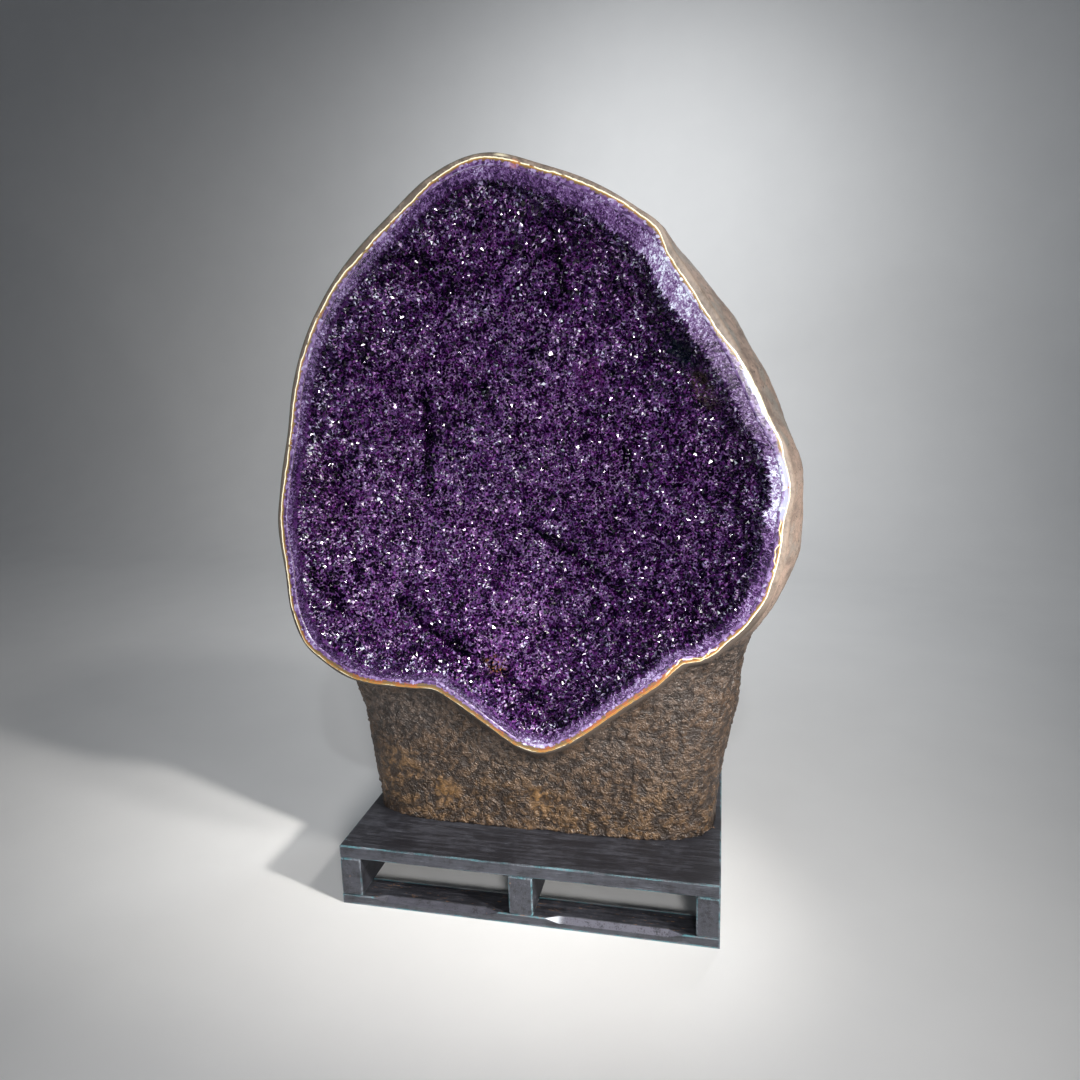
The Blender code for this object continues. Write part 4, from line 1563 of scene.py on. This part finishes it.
@dataclass
class Rock:
    """The stone: rough outside, polished edge, hollow wall behind the crust."""

    opening: Opening
    underside: float = 0.1723
    edge_width: float = 0.030
    brow: float = 0.006
    brow_start: float = 0.0055
    rim_points: int = 620
    spacing: float = 0.0092
    jitter: float = 0.22
    finer_below: float = 0.90
    finer_before: float = 0.04
    finer_beyond: float = 0.012
    hollow_depth: float = 0.455
    smooth_above: float = 0.86
    rough_below: float = 0.60
    shell_share: float = 0.18
    seed: int = 41

    def edge(self, shell: Shell, angles: np.ndarray) -> tuple[list[np.ndarray], list[float]]:
        """Rings over the rounded brow and the polished edge, from the outside in.

        Args:
            shell: the outside of the stone.
            angles: the rings' angles.

        Returns:
            The rings, and how far inside the outline each one lies.
        """
        rings = [shell.outside(angles, np.full(len(angles), self.brow_start))]
        depths = [-0.004]
        for turn in (30, 60, 90):
            inset = self.brow * (1 - math.cos(math.radians(turn)))
            back = self.brow * (1 - math.sin(math.radians(turn)))
            rings.append(self.opening.face(angles, inset, back))
            depths.append(inset)
        for inset in np.linspace(self.brow, self.edge_width, 5)[1:]:
            rings.append(self.opening.face(angles, inset, 0.0))
            depths.append(inset)
        return rings, depths

    def build(self) -> bpy.types.Object:
        """Make the stone's mesh and dress it.

        Returns:
            The finished piece.
        """
        shell = Shell(self.opening)
        count = self.rim_points
        angles = all_round(count)
        rings, insets = self.edge(shell, angles)
        faces = []
        for row in range(len(rings) - 1):
            for k in range(count):
                after = (k + 1) % count
                faces.append((row * count + k, row * count + after,
                              (row + 1) * count + after, (row + 1) * count + k))
        band = len(faces)
        first = len(rings) * count
        outer = [(angle, k) for k, angle in enumerate(angles)]
        inner = [(angle, first - count + k) for k, angle in enumerate(angles)]
        skin = Sheet(shell.outside, self.spacing, self.jitter, self.seed)
        outside, skin_faces, shares = skin.build(outer, first, 3)
        wall = hidden_wall(self.opening, self.hollow_depth, self.edge_width, self.seed)
        hollow, wall_faces, _ = wall.build(inner, first + len(outside), 1)
        places = np.concatenate(rings + [outside, hollow])
        depth = np.concatenate([np.repeat(insets, count), -1.3 * shares,
                                np.full(len(hollow), self.edge_width)])
        numbers = {"edge_depth": depth, "rough": self.roughness(places, depth),
                   "free": self.freedom(places, depth)}
        mesh = new_mesh("stone", places, faces + skin_faces + wall_faces, numbers)
        for index in range(band):
            mesh.polygons[index].material_index = 1
        piece = new_object("stone", mesh)
        self.cut(piece)
        self.refine(piece)
        relief = Relief().tree(RindFinish().build())
        indices = np.zeros(len(piece.data.polygons), dtype=np.int32)
        piece.data.polygons.foreach_get("material_index", indices)
        piece.data = relief.run(piece)
        piece.data.materials.append(AgateFinish().build())
        piece.data.polygons.foreach_set("material_index", indices)
        piece.data.shade_smooth()
        return piece

    def refine(self, piece: bpy.types.Object) -> None:
        """Halve the triangles' sides on the front and sides of the foot, where the knobs are seen.

        Args:
            piece: the stone.
        """
        shape = bmesh.new()
        shape.from_mesh(piece.data)
        depth = shape.verts.layers.float["edge_depth"]
        inside = {vertex for vertex in shape.verts if vertex[depth] < -self.finer_beyond
                  and self.underside + 0.001 < vertex.co.z < self.finer_below
                  and vertex.co.y < self.finer_before}
        edges = [edge for edge in shape.edges if inside.issuperset(edge.verts)]
        bmesh.ops.subdivide_edges(shape, edges=edges, cuts=1, use_grid_fill=True)
        bmesh.ops.triangulate(shape, faces=shape.faces)
        shape.to_mesh(piece.data)
        shape.free()

    def roughness(self, places: np.ndarray, depth: np.ndarray) -> np.ndarray:
        """How knobbly the stone is at each place: most on the foot, little on the shell.

        Args:
            places: rows of x, y, z.
            depth: distance inside the sawn edge, negative outside.

        Returns:
            Numbers between 0 and 1.
        """
        away = smooth(-depth, 0.002, 0.030)
        foot = smooth(-places[:, 2], -self.smooth_above, -self.rough_below)
        foot = self.shell_share + (1.0 - self.shell_share) * foot
        patches = smooth(lumps(places + 3.0, 0.130), -0.55, 0.15)
        return away * foot * (0.45 + 0.55 * patches)

    def freedom(self, places: np.ndarray, depth: np.ndarray) -> np.ndarray:
        """Where the surface may move: not on the polished edge, the hollow wall or the underside.

        Args:
            places: rows of x, y, z.
            depth: distance inside the sawn edge, negative outside.

        Returns:
            Numbers between 0 and 1.
        """
        above = smooth(places[:, 2], self.underside, self.underside + 0.006)
        return smooth(-depth, 0.000, 0.020) * above

    def cut(self, piece: bpy.types.Object) -> None:
        """Cut the stone flat where it stands on the deck and close the cut.

        Args:
            piece: the stone.
        """
        shape = bmesh.new()
        shape.from_mesh(piece.data)
        everything = shape.verts[:] + shape.edges[:] + shape.faces[:]
        cut = bmesh.ops.bisect_plane(shape, geom=everything, dist=0.0002,
                                     plane_co=(0, 0, self.underside), plane_no=(0, 0, -1),
                                     clear_outer=True)
        for vertex in shape.verts:
            vertex.co.z = max(vertex.co.z, self.underside)
        edges = [item for item in cut["geom_cut"] if isinstance(item, bmesh.types.BMEdge)]
        filled = bmesh.ops.contextual_create(shape, geom=edges)
        bmesh.ops.triangulate(shape, faces=filled["faces"])
        bmesh.ops.recalc_face_normals(shape, faces=shape.faces)
        shape.to_mesh(piece.data)
        shape.free()


@dataclass
class Crystals:
    """Crystal points scattered close together over a surface, between two heights."""

    name: str
    low: float
    high: float
    spacing: float = 0.0058
    least: float = 0.0036
    most: float = 0.0078
    lean: float = 0.60
    crowding: float = 60000.0
    smallness: float = 1.8
    picks: int = 50
    seed: int = 5

    def tree(self, shapes: bpy.types.Collection, material: bpy.types.Material) -> Tree:
        """Build the tree.

        Args:
            shapes: the crystal shapes to pick from.
            material: the crystals' finish.

        Returns:
            The tree.
        """
        tree = Tree(self.name)
        graph = tree.graph
        numbers = (("Spacing", self.spacing), ("Least radius", self.least),
                   ("Greatest radius", self.most), ("Lean", self.lean),
                   ("Lowest", self.low), ("Highest", self.high))
        spacing, least, most, lean, low, high = (
            tree.input(label, "NodeSocketFloat", value) for label, value in numbers)
        seed = tree.input("Seed", "NodeSocketInt", self.seed)
        picked = tree.input("Shapes", "NodeSocketCollection", shapes)
        sockets = {"Mesh": tree.mesh_in(), "Distance Min": spacing,
                   "Density Max": self.crowding, "Seed": seed}
        scatter = graph.node("GeometryNodeDistributePointsOnFaces",
                             {"distribute_method": "POISSON"}, sockets)
        points = Value(graph, scatter.outputs["Points"])
        turned = Value(graph, scatter.outputs["Rotation"])
        up = graph.axis(graph.value("GeometryNodeInputPosition", {}, {}), "Z")
        below, above = (
            graph.value("FunctionNodeCompare", {"operation": operation}, {0: up, 1: limit})
            for operation, limit in (("LESS_THAN", low), ("GREATER_EQUAL", high)))
        other = graph.value("FunctionNodeBooleanMath", {"operation": "OR"}, {0: below, 1: above})
        points = graph.value("GeometryNodeDeleteGeometry", {"domain": "POINT"},
                             {"Geometry": points, "Selection": other})
        points = tree.store(points, "tone", "POINT", tree.chance(seed))
        info = graph.value("GeometryNodeCollectionInfo", {}, {
            "Collection": picked, "Separate Children": True, "Reset Children": True})
        index = tree.random("INT", {4: 0, 5: self.picks, "Seed": seed + 11.0})
        size = least + (most - least) * tree.chance(seed + 23.0) ** self.smallness
        placed = graph.value("GeometryNodeInstanceOnPoints", {}, {
            "Points": points, "Instance": info, "Pick Instance": True, "Instance Index": index,
            "Rotation": turned,
            "Scale": graph.value("ShaderNodeCombineXYZ", {}, {0: size, 1: size, 2: size})})
        turn = tree.random("FLOAT_VECTOR", {
            0: (-1.0, -1.0, -3.1416), 1: (1.0, 1.0, 3.1416), "Seed": seed + 37.0})
        across, along, round_about = (graph.axis(turn, name) for name in "XYZ")
        euler = graph.value("ShaderNodeCombineXYZ", {},
                            {0: across * lean, 1: along * lean, 2: round_about})
        rotation = graph.value("FunctionNodeEulerToRotation", {}, {0: euler})
        placed = graph.value("GeometryNodeRotateInstances", {}, {
            "Instances": placed, "Rotation": rotation, "Local Space": True})
        tree.finish(placed, material, "facet")
        return tree


@dataclass
class Lining:
    """The amethyst crust: sawn front face, skin between the crystals, and the crystals."""

    opening: Opening
    edge_width: float = 0.0303
    stone_edge: float = 0.030
    cut: float = 0.020
    cut_more: float = 0.006
    cut_most: float = 0.018
    widest_at: float = math.radians(40)
    widest_reach: float = math.radians(28)
    back_depth: float = 0.4545
    cavity_depth: float = 0.390
    front_points: int = 1440
    tooth: float = 0.0120
    tooth_points: int = 4
    behind_face: float = 0.0006
    lip_back: float = 0.011
    lip_inset: float = 0.002
    lip_run: float = 0.010
    fold_height: float = 0.022
    lump_height: float = 0.010
    knot_height: float = 0.0055
    skin_spacing: float = 0.0100
    skin_jitter: float = 0.20
    crease_shade: float = 2.2
    shape_count: int = 7
    shape_heights: tuple[float, float] = (1.05, 1.50)
    shape_steps: tuple[float, float] = (0.10, 0.24)
    shape_shoulder: float = 0.20
    shape_uneven: float = 0.10
    shape_tip: float = 0.22
    shape_root: float = -1.6
    piece_count: int = 5
    seed: int = 42
    creases: tuple[Crease, ...] = (
        Crease(((0.066, -0.089, 1.753), (0.068, -0.042, 1.707), (0.071, 0.028, 1.652),
                (0.077, 0.035, 1.609)), 0.026, 0.022),
        Crease(((-0.334, -0.264, 1.673), (-0.320, -0.200, 1.694), (-0.289, -0.158, 1.693),
                (-0.259, -0.093, 1.674)), 0.022, 0.022),
        Crease(((-0.329, 0.021, 1.350), (-0.348, 0.058, 1.214), (-0.367, 0.069, 1.124),
                (-0.347, 0.062, 1.050)), 0.024, 0.022),
        Crease(((-0.416, -0.044, 0.753), (-0.287, -0.095, 0.677), (-0.201, -0.150, 0.654),
                (-0.095, -0.127, 0.575), (0.008, -0.156, 0.513)), 0.026, 0.024),
        Crease(((-0.052, 0.071, 0.955), (0.037, 0.073, 0.902), (0.129, 0.046, 0.848),
                (0.213, -0.002, 0.797)), 0.018, 0.020),
        Crease(((0.221, 0.096, 1.176), (0.253, 0.079, 1.093)), 0.018, 0.024),
        Crease(((-0.182, 0.087, 1.362), (-0.144, 0.087, 1.261)), 0.016, 0.020),
        Crease(((-0.598, -0.226, 0.875), (-0.574, -0.184, 0.811), (-0.547, -0.156, 0.751)),
               0.016, 0.026),
    )

    def cut_width(self, angle: np.ndarray) -> np.ndarray:
        """Width of the crust's sawn face.

        Args:
            angle: angles clockwise from the top.

        Returns:
            The width at each angle.
        """
        away = np.mod(angle - self.widest_at + math.pi, math.tau) - math.pi
        widest = self.cut_most * np.exp(-(away / self.widest_reach) ** 2)
        return self.cut + self.cut_more * np.cos(away) + widest

    def cavity(self) -> Bowl:
        """The bowl that the crystals stand on."""
        return Bowl(self.opening, self.cavity_depth, 2.2,
                    lambda angle: self.stone_edge + self.cut_width(angle), self.fold_height,
                    lump_height=self.lump_height, knot_height=self.knot_height,
                    creases=self.creases)

    def front(self) -> tuple[list[np.ndarray], list[tuple[int, ...]], np.ndarray]:
        """The sawn face, with a ragged inner edge of prism ends.

        Returns:
            Its rings of places, its faces, and one (u, v) row for each face corner.
        """
        chance = np.random.default_rng(self.seed)
        count = self.front_points
        angles = all_round(count)
        width = self.cut_width(angles)
        step = self.tooth_points
        ends = chance.uniform(-1.0, 1.0, count // step)
        ragged = np.interp(np.arange(count) / step, np.arange(count // step + 1),
                           np.append(ends, ends[0]))
        saw = np.abs((np.arange(count) % step) - step / 2) / (step / 2)
        ragged = (ragged * 0.7 + saw * 0.6 - 0.3) * self.tooth
        rings = []
        insets = []
        for share in (0.0, 0.35, 0.7, 1.0):
            inset = self.edge_width + share * width + share**3 * ragged
            rings.append(self.opening.face(angles, inset, self.behind_face * (1 + share)))
            insets.append(inset - self.edge_width)
        inset = insets[-1] + self.edge_width + self.lip_inset
        rings.append(self.opening.face(angles, inset, self.lip_back))
        insets.append(insets[-1] + self.lip_run)
        closed = np.vstack([rings[0], rings[0][:1]])
        steps = np.linalg.norm(np.diff(closed, axis=0), axis=1)
        run = np.concatenate([[0.0], np.cumsum(steps)])
        faces = []
        corners = []
        for row in range(len(rings) - 1):
            for k in range(count):
                after = (k + 1) % count
                faces.append((row * count + k, (row + 1) * count + k,
                              (row + 1) * count + after, row * count + after))
                corners.extend([(run[k], insets[row][k]), (run[k], insets[row + 1][k]),
                                (run[k + 1], insets[row + 1][after]),
                                (run[k + 1], insets[row][after])])
        return rings, faces, np.array(corners)

    def build(self) -> list[bpy.types.Object]:
        """Make the crust's pieces and dress them.

        Returns:
            The finished pieces, the crust first.
        """
        rings, faces, corners = self.front()
        count = self.front_points
        angles = all_round(count)
        first = len(rings) * count
        lip = [(angle, first - count + k) for k, angle in enumerate(angles)]
        cavity = Sheet(self.cavity().place, self.skin_spacing, self.skin_jitter, self.seed)
        places, inside, shares = cavity.build(lip, first, 2)
        rim = [(angle, k) for k, angle in enumerate(angles)]
        behind = hidden_wall(self.opening, self.back_depth, self.edge_width, self.seed)
        deep, closing, _ = behind.build(rim, first + len(places), 1)
        sawn = len(faces)
        faces.extend(inside)
        faces.extend((a, c, b) for a, b, c in closing)
        everything = np.concatenate(rings + [places, deep])
        mesh = new_mesh("amethyst_sawn_edge", everything, faces, {})
        layer = mesh.uv_layers.new(name="sawn")
        flat = np.zeros((len(mesh.loops), 2), dtype=np.float32)
        flat[:len(corners)] = corners
        layer.data.foreach_set("uv", flat.ravel())
        mesh.materials.append(SawnFinish().build())
        mesh.materials.append(SkinFinish().build())
        indices = np.ones(len(faces), dtype=np.int32)
        indices[:sawn] = 0
        mesh.polygons.foreach_set("material_index", indices)
        crust = new_object("amethyst_sawn_edge", mesh)
        return [crust] + self.grow(places, inside, shares, first)

    def grow(self, places: np.ndarray, inside: list[tuple[int, ...]], shares: np.ndarray,
             first: int) -> list[bpy.types.Object]:
        """Grow crystals over the cavity.

        Args:
            places: the skin's places.
            inside: its triangles, numbered in the whole crust.
            shares: each place's share of the way in.
            first: number of the skin's first place.

        Returns:
            The crystals in a few pieces.
        """
        kept = [tuple(corner - first for corner in face) for face in inside if min(face) >= first]
        rim = 1.0 - smooth(shares, 0.01, 0.22)
        cavity = self.cavity()
        knots = cavity.knots(places)
        # Painted light and shade: lighter on the knots, darker between them and much darker in the
        # creases.
        cluster = np.where(knots > 0.0, knots * 0.5, knots)
        cluster = cluster - self.crease_shade * cavity.dents(places)
        bed = new_object("bed", new_mesh("bed", places, kept, {"rim": rim, "cluster": cluster}))
        shapes = self.shapes()
        material = CrystalFinish().build()
        made = []
        bands = np.quantile(places[:, 2], np.linspace(0.0, 1.0, self.piece_count + 1)).tolist()
        bands[0], bands[-1] = 0.0, 3.0
        for number, (low, high) in enumerate(zip(bands, bands[1:])):
            name = f"amethyst_points_{number + 1}"
            crystals = Crystals(name, low, high)
            made.append(new_object(name, crystals.tree(shapes, material).run(bed)))
        for shape in list(shapes.objects):
            bpy.data.objects.remove(shape)
        bpy.data.collections.remove(shapes)
        bpy.data.objects.remove(bed)
        return made

    def shapes(self) -> bpy.types.Collection:
        """The crystal shapes: uneven six-faced points, closed by a root that stays hidden.

        Returns:
            A collection with the shapes.
        """
        chance = np.random.default_rng(self.seed + 7)
        made = bpy.data.collections.new("crystal shapes")
        for number in range(self.shape_count):
            tip = chance.uniform(-self.shape_tip, self.shape_tip, 2)
            height = chance.uniform(*self.shape_heights)
            alternate = chance.uniform(*self.shape_steps)
            places = []
            for k in range(6):
                turn = math.radians(60 * k)
                wide = 1.0 + self.shape_uneven * (-1) ** k
                places.append((math.cos(turn) * wide, math.sin(turn) * wide,
                               self.shape_shoulder + alternate * (-1) ** k))
            places.append((tip[0], tip[1], height))
            places.append((0.0, 0.0, self.shape_root))
            faces = [(k, (k + 1) % 6, 6) for k in range(6)]
            faces += [((k + 1) % 6, k, 7) for k in range(6)]
            name = f"crystal_{number}"
            mesh = new_mesh(name, np.array(places), faces, {})
            made.objects.link(bpy.data.objects.new(name, mesh))
        return made


@dataclass
class Stand:
    """The black timber stand: its CAD boards, each with worn paint of its own grain."""

    across: tuple[str, ...] = ("deck", "bottom_board_front", "bottom_board_rear")
    along: tuple[str, ...] = ("stringer_left", "stringer_centre", "stringer_right")
    grain_across: Place = (7.0, 95.0, 95.0)
    grain_along: Place = (95.0, 7.0, 95.0)

    def dress(self) -> None:
        """Give every board its finish."""
        for name in self.across + self.along:
            low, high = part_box(name)
            grain = self.grain_across if name in self.across else self.grain_along
            finish = TimberFinish(tuple(low), tuple(high), grain, "bottom" in name)
            board = frame["nodes"][name]
            board.data.materials.clear()
            board.data.materials.append(finish.build("worn paint " + name))
            LOG.info("%s: dressed", name)


@dataclass(frozen=True)
class Lamp:
    """A round soft box: where it stands and aims, its width, watts, spread and colour."""

    name: str
    place: Place
    target: Place
    width: float
    watts: float
    spread: float
    colour: Colour

    def add(self) -> None:
        """Put the light in the scene, aimed at its target."""
        data = bpy.data.lights.new(self.name, "AREA")
        data.shape = "DISK"
        data.size = self.width
        data.energy = self.watts
        data.spread = math.radians(self.spread)
        data.color = self.colour
        light = bpy.data.objects.new(self.name, data)
        light.location = self.place
        way = Vector(self.target) - Vector(self.place)
        light.rotation_euler = way.to_track_quat("-Z", "Y").to_euler()
        bpy.context.scene.collection.objects.link(light)


MIDDLE = (0.0, -0.1, 1.1)


@dataclass
class Studio:
    """Camera, lights, floor and world."""

    camera_place: Place = (0.496, -2.197, 1.393)
    yaw: float = 12.88
    pitch: float = 11.57
    roll: float = -1.66
    lens: float = 26.94
    sensor: float = 36.0
    world_colour: Colour = (0.75, 0.80, 0.88)
    world_strength: float = 0.12
    floor_top: float = -0.0005
    floor_front: float = -6.0
    floor_back: float = 3.4
    floor_sweep: float = 1.6
    floor_half_width: float = 8.0
    wall_top: float = 6.0
    lamps: tuple[Lamp, ...] = (
        Lamp("key", (1.35, -4.0, 1.8), MIDDLE, 0.8, 23.0, 62.0, (1.0, 0.98, 0.96)),
        Lamp("fill", (-3.0, -3.4, 1.9), MIDDLE, 1.6, 2.6, 90.0, (0.82, 0.91, 1.0)),
        Lamp("low", (-0.5, -3.0, 0.30), (0.0, -0.1, 1.3), 1.0, 5.0, 70.0, (0.78, 0.86, 1.0)),
        Lamp("glint above", (0.9, -3.4, 3.6), MIDDLE, 0.16, 3.6, 60.0, (0.92, 0.97, 1.0)),
        Lamp("glint left", (-1.4, -3.8, 1.7), MIDDLE, 0.12, 1.8, 60.0, (0.90, 0.97, 1.0)),
        Lamp("glint right", (3.0, -2.0, 1.2), MIDDLE, 0.14, 2.4, 60.0, (1.0, 0.98, 0.95)),
        Lamp("top right", (2.2, -1.2, 3.6), MIDDLE, 0.5, 10.0, 80.0, (1.0, 0.97, 0.93)),
        Lamp("rake", (2.6, -1.45, 1.9), (0.05, -0.25, 0.42), 0.25, 5.6, 30.0, (1.0, 0.96, 0.91)),
        Lamp("behind", (1.4, 3.0, 4.3), (0.0, 0.1, 0.8), 1.4, 7.0, 80.0, (0.94, 0.97, 1.0)),
        Lamp("backdrop", (0.0, 2.2, 3.6), (0.0, 5.0, 1.0), 2.6, 60.0, 150.0, (0.96, 0.98, 1.0)),
    )

    def build(self) -> None:
        """Set up the studio."""
        self.add_camera()
        self.add_floor()
        self.add_lights()
        bpy.context.scene.view_settings.view_transform = "Standard"

    def add_camera(self) -> None:
        """Add the camera at the photograph's viewing angle."""
        yaw, pitch, roll = (math.radians(value) for value in (self.yaw, self.pitch, self.roll))
        ahead = Vector((-math.sin(yaw) * math.cos(pitch), math.cos(yaw) * math.cos(pitch),
                        -math.sin(pitch)))
        right = Vector((math.cos(yaw), math.sin(yaw), 0.0))
        up = right.cross(ahead)
        side = math.cos(roll) * right + math.sin(roll) * up
        above = -math.sin(roll) * right + math.cos(roll) * up
        data = bpy.data.cameras.new("camera")
        data.lens = self.lens
        data.sensor_width = self.sensor
        data.sensor_fit = "AUTO"
        data.clip_end = 60.0
        camera = bpy.data.objects.new("camera", data)
        camera.matrix_world = Matrix.Translation(self.camera_place) @ Matrix(
            (side, above, -ahead)).transposed().to_4x4()
        bpy.context.scene.collection.objects.link(camera)
        bpy.context.scene.camera = camera

    def add_floor(self) -> None:
        """Add a pale floor that sweeps up behind the object."""
        profile = [(self.floor_front, self.floor_top), (self.floor_back, self.floor_top)]
        for turn in range(10, 91, 10):
            angle = math.radians(turn)
            profile.append((self.floor_back + self.floor_sweep * math.sin(angle),
                            self.floor_sweep * (1 - math.cos(angle)) + self.floor_top))
        profile.append((self.floor_back + self.floor_sweep, self.wall_top))
        sides = (-self.floor_half_width, self.floor_half_width)
        places = [(x, y, z) for y, z in profile for x in sides]
        faces = [(2 * k, 2 * k + 1, 2 * k + 3, 2 * k + 2) for k in range(len(profile) - 1)]
        floor = new_object("floor", new_mesh("floor", np.array(places), faces, {}))
        floor.data.shade_smooth()
        finish = Finish("pale floor")
        grain = finish.graph.noise(finish.place(), 3.0, 4.0)
        finish.set(Base_Color=finish.graph.mix(grain, (0.72, 0.72, 0.72), (0.78, 0.78, 0.775)),
                   Roughness=0.75)
        floor.data.materials.append(finish.material)

    def add_lights(self) -> None:
        """Add soft boxes and a dim even world."""
        for lamp in self.lamps:
            lamp.add()
        world = bpy.data.worlds.new("studio")
        world.use_nodes = True
        background = world.node_tree.nodes["Background"]
        background.inputs["Color"].default_value = (*self.world_colour, 1.0)
        background.inputs["Strength"].default_value = self.world_strength
        bpy.context.scene.world = world


def main() -> None:
    """Build and dress every piece in order."""
    logging.basicConfig(level=logging.INFO, format="%(name)s %(message)s")
    opening = Opening()
    Studio().build()
    Stand().dress()
    hand_over(Rock(opening).build(), "rock", "geode_rock")
    for index, piece in enumerate(Lining(opening).build()):
        hand_over(piece, "amethyst", *(("amethyst_crust",) if index == 0 else ()))


if __name__ == "__main__":
    main()
